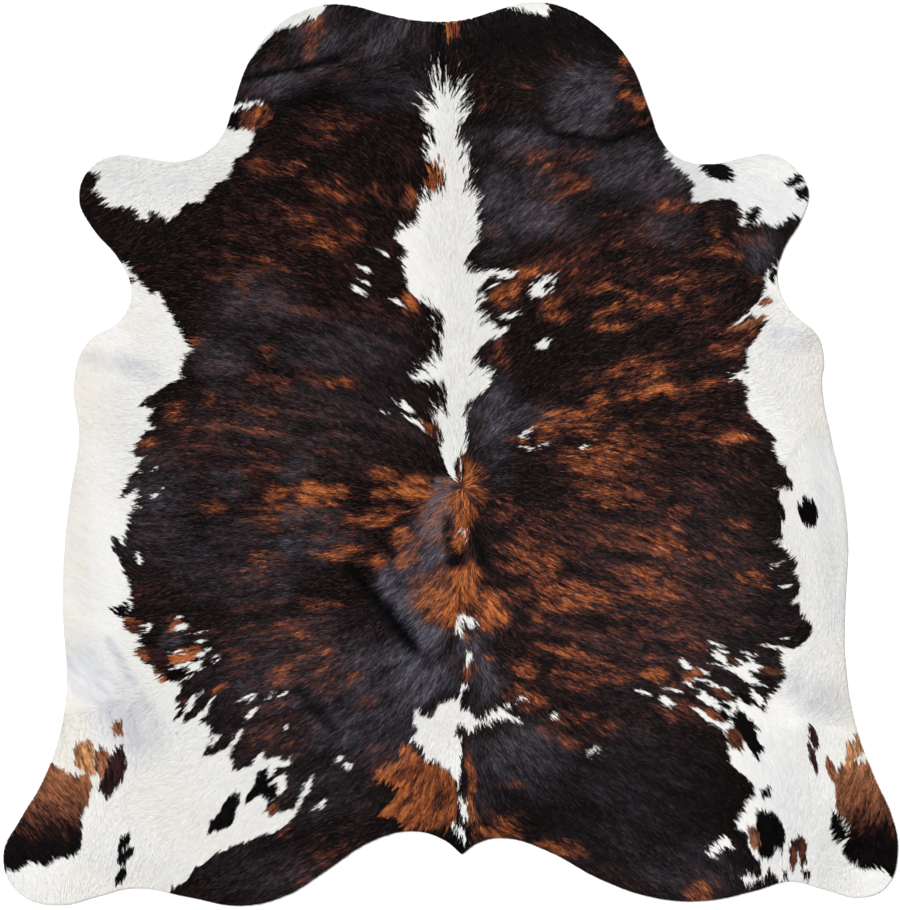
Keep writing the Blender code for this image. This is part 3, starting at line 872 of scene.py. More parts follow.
def mixed(colours: np.ndarray, tone: Tone, share: np.ndarray) -> np.ndarray:
    """Colours with a share of one tone mixed into each."""
    share = share[..., None]
    return colours * (1 - share) + np.array(linear(tone.value)) * share


class Markings:
    """The coat's colours: white patches on black, brindled with brown along the hair, with painted
    sheen, glints and shade.
    """

    step = 1.5 * MM             # between the chart's points
    noise_step = 3 * MM         # and those of the brindle's noise
    soft_step = 6 * MM          # and those of the soft places and lines
    strands = (3.2 * MM, 20 * MM)       # a strand's width and length
    gleams = (3.6 * MM, 18 * MM)        # and a painted gleam's
    stripes = (20 * MM, 100 * MM)       # and those of a stripe of the brindle
    fine_streaks = (8 * MM, 40 * MM)    # and of a fine streak in it
    clouds = 90 * MM            # from one browner place to the next
    ragged = 1.2 * MM           # how far the patches' edges stray
    ragged_size = 11 * MM       # from one such stray to the next
    spike = 3.0 * MM            # how far the hairs carry a patch's edge along
    long_spike = 12.0 * MM      # the same in the blaze's long hair
    blaze_width = 85 * MM       # how far the long hair reaches from the blaze
    blaze_top = 0.9             # it ends this far up the neck
    white_rough = 0.40          # how ragged a white dab is
    dark_rough = 0.15           # and a dark one
    sway = 7 * MM               # how far the brindle's places stray
    sway_size = 45 * MM         # from one such stray to the next
    stripe_lean = 0.5           # the brindle's stripes lean half as far as the hair
    glow_fade = 0.8             # how far a glow has faded at its sides
    stroke_fade = 0.7           # and a stroke at its own
    least_brown = 0.08          # the brindle's level where no streak shows
    most_brown = 0.92           # how much of a streak's strength shows
    patch_swing = 0.8           # patches of brown are less streaky than the brindle
    crease_brown = 0.30         # how much less brown the painted shade in a crease makes the hair
    crease_dark = 0.65          # how dark the painted shade in a crease is
    gloss_gain = 1.05           # how fully the painted sheens show
    hock_top = 753.0            # the hocks' ramp starts this far down the chart
    hock_run = 90.0             # and ends this much lower
    tone_levels = {Tone.RUST: 0.86, Tone.BROWN: 0.62}
    warm_tones = (Tone.DARK_BROWN, Tone.TAN, Tone.FAWN, Tone.UMBER)
    plain_tones = (Tone.WHITE, Tone.BLACK, *warm_tones)
    brindle_ramp = (
        (0.20, Tone.BLACK), (0.42, Tone.DARK_BROWN), (0.62, Tone.RUSSET), (0.86, Tone.BRINDLE),
        (1.08, Tone.ORANGE),
    )
    hock_ramp = (
        (0.18, Tone.HOCK_TOP), (0.38, Tone.HOCK), (0.66, Tone.HOCK_LOW), (0.77, Tone.DARK_BROWN),
        (1.00, Tone.BLACK),
    )
    brindle_uneven = Unevenness(broad=0.12, fine=0.08, strand=0.13, jitter=0.19)
    hock_uneven = Unevenness(broad=0.05, fine=0.0, strand=0.13, jitter=0.08)
    warm_uneven = Unevenness(broad=0.08, fine=0.20, strand=0.50, jitter=0.32)

    def __init__(self, flow: HairFlow) -> None:
        """Draws the chart's patches and dabs and the brindle.

        Args:
            flow: Which way the hair lies.
        """
        self.palette = np.array([linear(tone.value) for tone in Tone])
        self.strand = Noise(self.step, SEED + 2).combed(*self.strands, flow)
        # painted gleams: streaks along the strands that are painted lighter, as if they caught the light
        self.gleam = Noise(self.step, SEED + 3).combed(*self.gleams, flow)
        self.x, self.y = self.spiked(flow)
        chart = np.full(self.x.shape, -1, dtype=np.int8)
        for patch in PATCHES:
            self.fill(chart, patch)
        for dab in DABS:
            self.touch(chart, dab)
        self.chart = Field(chart, self.step)
        noise = Noise(self.noise_step, SEED)
        self.broad = noise.combed(*self.stripes, HairFlow(self.stripe_lean))
        self.fine = noise.combed(*self.fine_streaks, flow)
        self.cloud = noise.cloudy(self.clouds)
        self.sway_x, self.sway_y = noise.cloudy(self.sway_size), noise.cloudy(self.sway_size)
        self.brindle = self.glow_field(STREAKS)
        # painted sheen on the black and brown hair
        self.sheen = self.glow_field(PAINTED_SHEENS)
        # the creases, for their painted shade; the hair there also lies lower
        self.crease = self.stroke_field(CREASES)
        # painted bluish shade on the white hair
        self.chalk = self.stroke_field(PAINTED_WHITE_SHADES)
        self.cream = self.stroke_field(CREAMY)

    def spiked(self, flow: HairFlow) -> tuple[np.ndarray, np.ndarray]:
        """The chart's places, moved so that the hairs carry each edge along in spikes.

        Args:
            flow: Which way the hair lies.

        Returns:
            The x and y that each point of the chart reads its patch at.
        """
        x, y = Field.points(self.step)
        way = flow.at(x, y)
        cloud = Noise(self.step, SEED + 1)
        long_hair = along_spine(x, y, self.blaze_width, 0.5, 0.0) * (y < self.blaze_top)
        along = (self.spike + (self.long_spike - self.spike) * long_hair) * self.strand.values
        return (
            x - way[..., 0] * along + self.ragged * cloud.cloudy(self.ragged_size).values,
            y - way[..., 1] * along + self.ragged * cloud.cloudy(self.ragged_size).values,
        )

    def window(self, low: np.ndarray, high: np.ndarray) -> tuple[slice, slice]:
        """The part of the chart that a mark between two corners can reach.

        Args:
            low: The mark's lowest x and y.
            high: The mark's highest x and y.

        Returns:
            The rows and the columns of that part.
        """
        spread = 3 * self.long_spike
        first = np.floor((low - spread + CHART_REACH) / self.step).astype(int).clip(0)
        last = np.ceil((high + spread + CHART_REACH) / self.step).astype(int) + 1
        return slice(first[1], last[1]), slice(first[0], last[0])

    def fill(self, chart: np.ndarray, patch: Patch) -> None:
        """Fills a patch on the chart.

        Args:
            chart: The chart's tone numbers, which this changes.
            patch: The patch to fill.
        """
        corners = np.array([chart_place(*corner) for corner in patch.corners])
        part = self.window(corners.min(axis=0), corners.max(axis=0))
        x, y = self.x[part], self.y[part]
        inside = np.zeros(x.shape, dtype=bool)
        for (ax, ay), (bx, by) in zip(corners, np.roll(corners, -1, axis=0)):
            if ay != by:
                inside ^= ((ay > y) != (by > y)) & (x < ax + (bx - ax) * (y - ay) / (by - ay))
        chart[part][inside] = TONE_NUMBERS[patch.tone]

    def touch(self, chart: np.ndarray, dab: Dab) -> None:
        """Puts a dab on the chart.

        Args:
            chart: The chart's tone numbers, which this changes.
            dab: The dab to put there.
        """
        start = np.array(chart_place(dab.from_across, dab.from_down))
        end = np.array(chart_place(dab.to_across, dab.to_down))
        middle, run = (start + end) / 2, end - start
        half, thick = math.hypot(*run) / 2, dab.width * PIXEL / 2
        part = self.window(middle - half - thick, middle + half + thick)
        x, y = self.x[part] - middle[0], self.y[part] - middle[1]
        ux, uy = run / (2 * half)
        rough = self.white_rough if dab.tone is Tone.WHITE else self.dark_rough
        size = 1.0 + rough * self.strand.values[part]
        inside = ((x * ux + y * uy) / half) ** 2 + ((y * ux - x * uy) / thick) ** 2 < size
        chart[part][inside] = TONE_NUMBERS[dab.tone]

    def glow_field(self, glows: tuple[Glow, ...]) -> Field:
        """The strongest of several soft places at each point.

        Args:
            glows: The soft places.

        Returns:
            A field of strengths, 0 away from all of them.
        """
        x, y = Field.points(self.soft_step)
        x, y = x + self.sway * self.sway_x.at(x, y), y + self.sway * self.sway_y.at(x, y)
        total = np.zeros(x.shape)
        for glow in glows:
            left, top = chart_place(glow.left, glow.top)
            right, bottom = chart_place(glow.right, glow.bottom)
            u = (x - (left + right) / 2) / ((right - left) / 2)
            v = (y - (top + bottom) / 2) / ((top - bottom) / 2)
            fade = np.exp(-self.glow_fade * (u * u + v * v) ** 1.5)
            total = np.maximum(total, glow.strength * fade)
        return Field(total, self.soft_step)

    def stroke_field(self, strokes: tuple[Stroke, ...]) -> Field:
        """The strongest of several soft lines at each point.

        Args:
            strokes: The soft lines.

        Returns:
            A field of strengths, 0 away from all of them.
        """
        x, y = Field.points(self.soft_step)
        total = np.zeros(x.shape)
        for stroke in strokes:
            ax, ay = chart_place(stroke.from_across, stroke.from_down)
            bx, by = chart_place(stroke.to_across, stroke.to_down)
            run_x, run_y = bx - ax, by - ay
            t = np.clip(((x - ax) * run_x + (y - ay) * run_y) / (run_x ** 2 + run_y ** 2), 0.0, 1.0)
            away = np.hypot(x - ax - t * run_x, y - ay - t * run_y) / (stroke.width * PIXEL / 2)
            total = np.maximum(total, stroke.strength * np.exp(-self.stroke_fade * away ** 2.5))
        return Field(total, self.soft_step)

    @staticmethod
    def shaded(value: np.ndarray, ramp: tuple[tuple[float, Tone], ...]) -> np.ndarray:
        """The colour at each value along a ramp of tones.

        Args:
            value: A place along the ramp for each hair.
            ramp: The tones and where each stands.

        Returns:
            Linear red, green and blue for each hair.
        """
        stops = [stop for stop, _ in ramp]
        tones = np.array([linear(tone.value) for _, tone in ramp])
        return np.stack([np.interp(value, stops, tones[:, k]) for k in range(3)], axis=-1)

    def brownness(self, here: Reading) -> np.ndarray:
        """How brown each hair is, 0 for black and 1 for orange.

        Args:
            here: What the chart and the noise say at each hair.

        Returns:
            A value for each hair, a little below 0 or above 1 in places.
        """
        x, y = here.x, here.y
        level = np.maximum(self.least_brown, self.most_brown * self.brindle.at(x, y) - 0.02)
        for tone, value in self.tone_levels.items():
            level[here.has(tone)] = value
        swing = np.clip(0.45 + level, 0.5, 1.0) * np.where(here.mark < 0, 1.0, self.patch_swing)
        streaks = swing * here.uneven(self.brindle_uneven)
        # a crease is painted less brown, as part of its painted shade
        return level + streaks + 0.04 * self.cloud.at(x, y) - self.crease_brown * here.crease

    def brindled(self, here: Reading) -> np.ndarray:
        """The black hair's colour, with its brindle, and with painted gloss, glints and sheen.

        Args:
            here: What the chart and the noise say at each hair.

        Returns:
            Linear red, green and blue for each hair.
        """
        brown = self.brownness(here)
        warmth = np.clip(brown, 0, 1)
        # painted highlights: the gleams and each hair's glint lighten it, and the strongest glints are
        # painted dun
        gleam = 0.5 + 0.20 * self.gleam.at(here.x, here.y) + 0.06 * here.fine
        lit = np.clip(gleam + 0.9 * (here.glint - 0.5), 0, 1)
        spark = np.clip((here.glint - 0.8) * 5, 0, 1)
        colours = self.shaded(brown, self.brindle_ramp) * np.exp(0.5 * lit - 0.25)[..., None]
        # painted sheen: grey on the black hair and dun on the brown, broken along the locks and dulled
        # in creases
        broken = (0.16 + 0.84 * lit ** 2) * np.clip(0.9 + 0.3 * here.broad, 0.3, 1.5)
        gloss = self.gloss_gain * self.sheen.at(here.x, here.y) * broken
        dull = (1.0 - 0.45 * warmth) * (1 - 0.9 * here.crease)
        colours = mixed(colours, Tone.DUN_GLINT_AND_SHEEN, np.clip((0.01 + 0.22 * spark + gloss * warmth) * dull, 0, 1))
        return mixed(colours, Tone.PAINTED_GREY_SHEEN, np.clip(gloss * (1 - warmth) * dull, 0, 1))

    def colour(self, x: np.ndarray, y: np.ndarray, jitter: np.ndarray, glint: np.ndarray) -> np.ndarray:
        """The hair's colour at each place, with its painted sheen, glints and shade.

        Args:
            x: Places along +X.
            y: Places along +Y.
            jitter: How much browner each hair is than its place, mostly from -1 to 1.
            glint: A value from 0 to 1 for each hair, how strong its painted glint is.

        Returns:
            Linear red, green and blue for each hair.
        """
        noise = (field.at(x, y) for field in (self.broad, self.fine, self.strand, self.crease))
        here = Reading(x, y, self.chart.nearest(x, y), *noise, jitter, glint)
        colours = self.brindled(here)
        plain, hock, white = here.has(*self.plain_tones), here.has(Tone.HOCK), here.has(Tone.WHITE)
        colours[plain] = self.palette[here.mark[plain]]
        lower = (MIDDLE_DOWN - y / PIXEL - self.hock_top) / self.hock_run + here.uneven(self.hock_uneven)
        colours[hock] = self.shaded(lower[hock], self.hock_ramp)
        # the white hair takes its painted bluish shade, and its own cream where it is yellowish
        for tone, field in ((Tone.PAINTED_BLUE_SHADE, self.chalk), (Tone.CREAM, self.cream)):
            share = np.clip(field.at(x, y) * (0.85 + 0.2 * here.fine), 0, 1)
            colours = mixed(colours, tone, share * white)
        warm = hock | here.has(*self.warm_tones)
        colours[warm] *= np.clip(np.exp(here.uneven(self.warm_uneven)), 0.30, 1.7)[warm, None]
        # painted shade in the creases, on all but the white hair
        return colours * (1 - self.crease_dark * here.crease * ~white)[..., None]


def object_from(name: str, points: np.ndarray, corners: np.ndarray) -> bpy.types.Object:
    """A mesh object in the scene.

    Args:
        name: The piece's name.
        points: One row of x, y and z for each vertex.
        corners: The vertex numbers of each face, three or four.

    Returns:
        The object, at the origin.
    """
    mesh = bpy.data.meshes.new(name)
    mesh.vertices.add(len(points))
    mesh.vertices.foreach_set("co", points.astype(np.float32).ravel())
    mesh.loops.add(corners.size)
    mesh.loops.foreach_set("vertex_index", corners.astype(np.int32).ravel())
    mesh.polygons.add(len(corners))
    starts = np.arange(0, corners.size, corners.shape[1], dtype=np.int32)
    mesh.polygons.foreach_set("loop_start", starts)
    mesh.update(calc_edges=True)
    made = bpy.data.objects.new(name, mesh)
    bpy.context.scene.collection.objects.link(made)
    return made


def paint(piece: bpy.types.Object, colours: np.ndarray) -> None:
    """Stores a linear colour for each vertex as the piece's hair colour.

    Args:
        piece: The piece to colour.
        colours: Linear red, green and blue for each vertex.
    """
    layer = piece.data.attributes.new(HAIR_COLOUR, "FLOAT_COLOR", "POINT")
    rgba = np.hstack([colours, np.ones((len(colours), 1))])
    layer.data.foreach_set("color", rgba.astype(np.float32).ravel())


def lay_flat_map(piece: bpy.types.Object) -> None:
    """Gives a piece a UV map seen from straight above, filling the unit square.

    Args:
        piece: The piece to map.
    """
    mesh = piece.data
    flat = places_of(mesh)[:, :2]
    low, high = flat.min(axis=0), flat.max(axis=0)
    flat = (flat - low) / (high - low)
    corner = np.empty(len(mesh.loops), dtype=np.int32)
    mesh.loops.foreach_get("vertex_index", corner)
    layer = mesh.uv_layers.new(name="OFBake")
    layer.data.foreach_set("uv", flat[corner].astype(np.float32).ravel())


def add_node(tree: bpy.types.NodeTree, kind: str, settings: dict, links: dict) -> bpy.types.Node:
    """Adds a node with its settings and links.

    Args:
        tree: The material's node tree.
        kind: The node's type name.
        settings: Values for its properties, or for its inputs by name.
        links: Output sockets to join to its inputs by name or number.

    Returns:
        The new node.
    """
    node = tree.nodes.new(kind)
    for name, value in settings.items():
        if isinstance(name, str) and hasattr(node, name):
            setattr(node, name, value)
        else:
            node.inputs[name].default_value = value
    for name, socket in links.items():
        tree.links.new(socket, node.inputs[name])
    return node


def new_material(name: str, roughness: float) -> tuple[bpy.types.Material, bpy.types.Node]:
    """A material of a given roughness, and its shader.

    Args:
        name: The material's name.
        roughness: From 0 for a mirror to 1 for chalk.

    Returns:
        The material and its shader node.
    """
    made = bpy.data.materials.new(name)
    made.use_nodes = True
    shader = made.node_tree.nodes["Principled BSDF"]
    shader.inputs["Roughness"].default_value = roughness
    return made, shader


@dataclass(frozen=True)
class HairFinish:
    """Short, straight cattle hair, brushed flat and clean.

    Each hair is smooth and slightly greasy. The soft broken gloss along its locks is painted into the
    blades' colours, and the shader adds only a faint shine.
    """

    name: str = "brushed_cattle_hair"
    roughness: float = 0.50
    specular: float = 0.03

    def material(self) -> bpy.types.Material:
        """The hair's material, its colour from each blade's own colour.

        Returns:
            The material, ready for a band of the coat.
        """
        made, shader = new_material(self.name, self.roughness)
        shader.inputs["Specular IOR Level"].default_value = self.specular
        tree = made.node_tree
        colour = add_node(tree, "ShaderNodeAttribute", {"attribute_name": HAIR_COLOUR}, {})
        tree.links.new(colour.outputs["Color"], shader.inputs["Base Color"])
        return made


@dataclass(frozen=True)
class SuedeFinish:
    """The flesh side of chrome-tanned cattle leather, buffed to a short dull nap."""

    name: str = "buffed_suede"
    roughness: float = 0.92
    mottle: float = 0.12        # from one lighter place to the next
    nap: float = 1.4 * MM       # the nap is finer than this, but would not show
    nap_height: float = 0.4 * MM

    def material(self) -> bpy.types.Material:
        """Suede with a mottled, napped face.

        Returns:
            The material, ready for the skin.
        """
        made, shader = new_material(self.name, self.roughness)
        tree = made.node_tree
        place = add_node(tree, "ShaderNodeTexCoord", {}, {})
        clouds = add_node(
            tree, "ShaderNodeTexNoise", {"Scale": 1 / self.mottle, "Detail": 5.0, "Roughness": 0.6},
            {"Vector": place.outputs["Object"]},
        )
        nap = add_node(
            tree, "ShaderNodeTexNoise", {"Scale": 1 / self.nap, "Detail": 2.0},
            {"Vector": place.outputs["Object"]},
        )
        dark, light = ((*linear(tone.value), 1) for tone in (Tone.SUEDE, Tone.CUT_EDGE))
        mottled = add_node(
            tree, "ShaderNodeMix", {"data_type": "RGBA", 6: dark, 7: light},
            {0: clouds.outputs["Fac"]},
        )
        raised = add_node(
            tree, "ShaderNodeBump", {"Strength": 0.4, "Distance": self.nap_height},
            {"Height": nap.outputs["Fac"]},
        )
        tree.links.new(mottled.outputs[2], shader.inputs["Base Color"])
        tree.links.new(raised.outputs["Normal"], shader.inputs["Normal"])
        return made


@dataclass
class Skin:
    """The tanned skin: a thin suede sheet on the hide's folds.

    Attributes:
        thickness: Of the leather without its hair.
        inset: How far the cut edge lies inside the tips of the hair.
        margin: How far from the edge the skin is still drawn in.
        width: Of the whole hide laid flat. Not used.
        length: Of the whole hide laid flat. Not used.
        area: Of one side of the hide. Not used.
        smooth: Folds gentler than this are shaded smooth, in degrees.
        finish: The suede's finish.
    """

    thickness: float = 2 * MM
    inset: float = 2.5 * MM
    margin: float = 15 * MM
    width: float = 2.0
    length: float = 2.02
    area: float = 3.05
    smooth: float = 40.0
    finish: SuedeFinish = SuedeFinish()

    def build(self, shape: HideShape) -> bpy.types.Object:
        """Builds the skin on the underside of the frame's hide.

        Args:
            shape: The hide's outline and folds.

        Returns:
            The skin, dressed.
        """
        flesh = shape.points.copy()
        out_x, out_y = shape.outward(flesh[:, 0], flesh[:, 1])
        depth = shape.depth.at(flesh[:, 0], flesh[:, 1])
        inward = self.inset * (1.0 - np.clip(depth / self.margin, 0.0, 1.0))
        flesh[:, 0] -= inward * out_x
        flesh[:, 1] -= inward * out_y
        grain = flesh + (0.0, 0.0, self.thickness)
        above = len(flesh)
        start, end = shape.edges[:, 0], shape.edges[:, 1]
        faces = np.vstack([
            shape.under, shape.under[:, ::-1] + above,
            np.stack([end, start, start + above], axis=1),
            np.stack([end, start + above, end + above], axis=1),
        ])
        skin = object_from("skin", np.vstack([flesh, grain]), faces)
        bpy.ops.object.select_all(action="DESELECT")
        bpy.context.view_layer.objects.active = skin
        skin.select_set(True)
        skin.data.materials.append(self.finish.material())
        bpy.ops.object.shade_smooth_by_angle(angle=math.radians(self.smooth))
        log.info("skin: %d faces, %.1f mm thick", len(skin.data.polygons), self.thickness / MM)
        return skin


class Luck:
    """The coat's random numbers, one for each blade of hair or one for each lock of blades."""

    def __init__(self, rng: np.random.Generator, lock: np.ndarray) -> None:
        """Counts the blades and the locks.

        Args:
            rng: The coat's random numbers.
            lock: The number of each blade's lock.
        """
        self.rng = rng
        self.lock = lock
        self.blade_count = len(lock)
        self.lock_count = lock.max() + 1

    def even(self, low: float, high: float) -> np.ndarray:
        """A number between two others for each blade."""
        return self.rng.uniform(low, high, self.blade_count)

    def even_lock(self, low: float, high: float) -> np.ndarray:
        """A number between two others for each lock, given to its blades."""
        return self.rng.uniform(low, high, self.lock_count)[self.lock]

    def spread(self, deviation: float) -> np.ndarray:
        """A number round 0 for each blade."""
        return self.rng.normal(0.0, deviation, self.blade_count)

    def spread_lock(self, deviation: float, middle: float = 0.0) -> np.ndarray:
        """A number round a middle for each lock, given to its blades."""
        return self.rng.normal(middle, deviation, self.lock_count)[self.lock]


@dataclass
class Blades:
    """The coat's blades of hair as they lie, one value for each blade.

    Attributes:
        x: The root's place along +X.
        y: The root's place along +Y.
        lock_x: The middle of the blade's lock along +X.
        lock_y: The middle of the blade's lock along +Y.
        east: The x of the way that the blade lies.
        north: The y of the way that the blade lies.
        tip_x: The tip's place along +X.
        tip_y: The tip's place along +Y.
        length: From root to tip, once it is trimmed.
        depth: How far inside the outline the root is.
        spine: How much the blade belongs to the spine's long hair, from 0 to 1.
    """

    x: np.ndarray
    y: np.ndarray
    lock_x: np.ndarray
    lock_y: np.ndarray
    east: np.ndarray
    north: np.ndarray
    tip_x: np.ndarray
    tip_y: np.ndarray
    length: np.ndarray
    depth: np.ndarray
    spine: np.ndarray


@dataclass
class Coat:
    """The coat of short hair, in bands from the thighs to the neck.

    Attributes:
        spacing: From one blade of hair to the next.
        blade_width: Of a blade at its root. A blade stands for dozens of hairs that lie together.
        blade_length: Of the short hair on most of the hide.
        long_hair: How much longer the hair on the spine is.
        spine_width: How far the long hair reaches from the spine.
        lock: Width of a lock, whose tips draw together.
        stray: How far a lock's roots may be from the colour that they take.
        hair_stray: The same for a single blade.
        wide_stray: How far a lock's colour may come from beside it.
        colour_at: The share of its length at which a blade takes its colour.
        lock_brown: How much browner or blacker a lock may be than its place.
        hair_brown: The same for a single blade.
        most_brown: The most that both may come to.
        lock_bright: How much brighter or darker a lock may be.
        hair_bright: The same for a single blade.
        most_bright: The brightest blade, against its tone.
        skin_top: Height of the roots over the hide's underside.
        tip_height: How far the lowest tips lie above the roots.
        rim_gap: The blades that stand in rows start this far inside the outline.
        trim: How far the hair may reach past the outline.
        fringe: From one blade to the next along the outline.
        fringe_inset: The least and most that the fringe's roots lie inside it, in millimetres.
        lock_turn: How far a lock strays from the hair's way, in degrees.
        hair_turn: The same for a single blade in its lock.
        pitch: The least and most that a blade rises, in degrees.
        lock_roll: How far a lock is rolled about its length, in degrees.
        hair_roll: The same for a single blade.
        pale_level: Hair brighter than this is shaded as white hair.
        pale_spread: How much of that unevenness white hair shows.
        rim_shadow_and_thin_hair: How much darker the pale hair is painted at the cut edge, for the
            shadow along the rim and the skin that shows through the thin hair there.
        rim_shadow_width: How far in from the edge the painted shadow and the thin hair reach.
        finish: The hair's finish.
        bands: The bands' names, from the thighs up to the neck.
    """

    spacing: float = 1.93 * MM
    blade_width: float = 3.0 * MM
    blade_length: float = 17 * MM
    long_hair: float = 10 * MM
    spine_width: float = 70 * MM
    lock: float = 4.0 * MM
    stray: float = 3.0 * MM
    hair_stray: float = 1.0 * MM
    wide_stray: float = 0.7 * MM
    colour_at: float = 0.70
    lock_brown: float = 0.50
    hair_brown: float = 0.85
    most_brown: float = 2.2
    lock_bright: float = 0.12
    hair_bright: float = 0.50
    most_bright: float = 1.40
    skin_top: float = 2.0 * MM
    tip_height: float = 0.6 * MM
    rim_gap: float = 0.4 * MM
    trim: float = 2.0 * MM
    fringe: float = 0.5 * MM
    fringe_inset: tuple[float, float] = (0.5, 4.0)
    lock_turn: float = 6.0
    hair_turn: float = 7.0
    pitch: tuple[float, float] = (6.0, 12.0)
    lock_roll: float = 4.0
    hair_roll: float = 12.0
    pale_level: float = 0.4
    pale_spread: float = 0.11
    rim_shadow_and_thin_hair: float = 0.16
    rim_shadow_width: float = 5 * MM
    finish: HairFinish = HairFinish()
    bands: tuple[str, ...] = (
        "coat_thighs", "coat_rump", "coat_loins", "coat_ribs", "coat_shoulders", "coat_neck",
    )

    def roots(self, shape: HideShape, rng: np.random.Generator) -> tuple[np.ndarray, np.ndarray]:
        """Places the hairs' roots, evenly but not in rows.

        Args:
            shape: The hide's outline and folds.
            rng: The coat's random numbers.

        Returns:
            The roots' x and y.
        """
        side = np.arange(-ROOT_REACH, ROOT_REACH, self.spacing)
        x, y = np.meshgrid(side, side)
        x = (x + rng.uniform(-0.5, 0.5, x.shape) * self.spacing).ravel()
        y = (y + rng.uniform(-0.5, 0.5, y.shape) * self.spacing).ravel()
        keep = shape.depth.at(x, y) > self.rim_gap
        return x[keep], y[keep]

    def fringe_roots(self, shape: HideShape, rng: np.random.Generator) -> tuple[np.ndarray, ...]:
        """Places the roots of the short hair that covers the cut edge.

        Args:
            shape: The hide's outline and folds.
            rng: The coat's random numbers.

        Returns:
            The roots' x and y, and the x and y of the way out of the hide there.
        """
        run = shape.rim[:, 2:] - shape.rim[:, :2]
        number = np.repeat(np.arange(len(run)), np.ceil(np.hypot(*run.T) / self.fringe).astype(int))
        share = rng.uniform(0.0, 1.0, len(number))
        x, y = (shape.rim[number, k] + share * run[number, k] for k in range(2))
        out_x, out_y = shape.outward(x, y)
        inward = rng.uniform(*self.fringe_inset, len(number)) * MM
        return x - out_x * inward, y - out_y * inward, out_x, out_y

    def locks(self, x: np.ndarray, y: np.ndarray, rng: np.random.Generator) -> tuple[np.ndarray, ...]:
        """Finds the lock that each hair belongs to, the one whose middle is nearest.

        Args:
            x: The roots' x.
            y: The roots' y.
            rng: The coat's random numbers.

        Returns:
            The x and y of its lock's middle, and the lock's number.
        """
        count = int(2 * CHART_REACH / self.lock) + 4
        cx = rng.uniform(0.0, 1.0, (count, count))
        cy = rng.uniform(0.0, 1.0, (count, count))
        i = ((x + CHART_REACH) / self.lock).astype(int) + 1
        j = ((y + CHART_REACH) / self.lock).astype(int) + 1
        best = np.full(x.shape, np.inf)
        mx, my, number = x.copy(), y.copy(), np.zeros(x.shape, dtype=int)
        for di in (-1, 0, 1):
            for dj in (-1, 0, 1):
                a, b = i + di, j + dj
                px = (a - 1 + cx[b, a]) * self.lock - CHART_REACH
                py = (b - 1 + cy[b, a]) * self.lock - CHART_REACH
                far = (px - x) ** 2 + (py - y) ** 2
                nearer = far < best
                best[nearer] = far[nearer]
                mx[nearer], my[nearer] = px[nearer], py[nearer]
                number[nearer] = (b * count + a)[nearer]
        return mx, my, number

    def lay(self, shape: HideShape, flow: HairFlow) -> tuple[Blades, Luck]:
        """Lays the hair along its flow and trims it at the outline.

        Args:
            shape: The hide's outline and folds.
            flow: Which way the hair lies.

        Returns:
            The blades as they lie, and the random numbers for the rest of the coat.
        """
        rng = np.random.default_rng(SEED)
        x, y = self.roots(shape, rng)
        rim_x, rim_y, out_x, out_y = self.fringe_roots(shape, rng)
        out = flow.at(rim_x, rim_y) * 0.6 + np.stack([out_x, out_y], axis=-1)
        way = np.vstack([flow.at(x, y), out / np.linalg.norm(out, axis=1, keepdims=True)])
        x, y = np.append(x, rim_x), np.append(y, rim_y)
        mx, my, number = self.locks(x, y, rng)
        luck = Luck(rng, number)
        turn = np.radians(luck.spread_lock(self.lock_turn) + luck.spread(self.hair_turn))
        east = way[:, 0] * np.cos(turn) - way[:, 1] * np.sin(turn)
        north = way[:, 0] * np.sin(turn) + way[:, 1] * np.cos(turn)

        spine = along_spine(x, y, self.spine_width, 0.6, 0.2)
        length = self.blade_length * luck.even(0.7, 1.2) * luck.even_lock(0.85, 1.15)
        length += self.long_hair * spine * luck.even(0.4, 1.2)
        aside = ((mx - x) * -north + (my - y) * east) * (0.35 + 0.3 * spine)
        run_x = east * length - north * aside
        run_y = north * length + east * aside
        depth = shape.depth.at(x, y)
        tip_depth = shape.depth.at(x + run_x, y + run_y)
        allowed = -self.trim * luck.even(0.0, 1.0)
        over = tip_depth < allowed
        share = np.ones(len(x))
        share[over] = np.clip(((depth - allowed) / (depth - tip_depth + SLIVER))[over], 0.1, 1.0)
        tip_x, tip_y = x + run_x * share, y + run_y * share
        return Blades(x, y, mx, my, east, north, tip_x, tip_y, length * share, depth, spine), luck

    def tint(self, blades: Blades, luck: Luck, markings: Markings) -> tuple[np.ndarray, np.ndarray]:
        """Colours the blades, those of a lock much alike.

        Args:
            blades: The blades as they lie.
            luck: The coat's random numbers.
            markings: The coat's colours.

        Returns:
            Linear red, green and blue for each blade, and whether it is pale.
        """
        stray = luck.spread_lock(self.stray) * (0.6 + 1.2 * blades.spine)
        stray += luck.spread(self.hair_stray) + self.colour_at * blades.length
        wide = luck.spread_lock(self.wide_stray)
        from_x = 0.5 * (blades.x + blades.lock_x) + blades.east * stray - blades.north * wide
        from_y = 0.5 * (blades.y + blades.lock_y) + blades.north * stray + blades.east * wide
        jitter = luck.spread_lock(self.lock_brown) + luck.spread(self.hair_brown)
        jitter = np.clip(jitter, -self.most_brown, self.most_brown)
        colour = markings.colour(from_x, from_y, jitter, luck.even(0, 1))
        pale = colour.mean(axis=1) > self.pale_level
        bright = luck.spread_lock(self.lock_bright, middle=0.08) + luck.spread(self.hair_bright)
        bright = np.minimum(np.exp(bright), self.most_bright)
        # painted shadow along the rim of the pale hair, with the skin showing through its thin hair
        # there
        edge = self.rim_shadow_and_thin_hair * np.exp(-(blades.depth / self.rim_shadow_width) ** 2)
        calm = 1.0 + self.pale_spread * (bright[pale] - 1.0)
        bright[pale] = np.clip(calm, 0.85, 1.04) - edge[pale]
        return colour * bright[:, None], pale

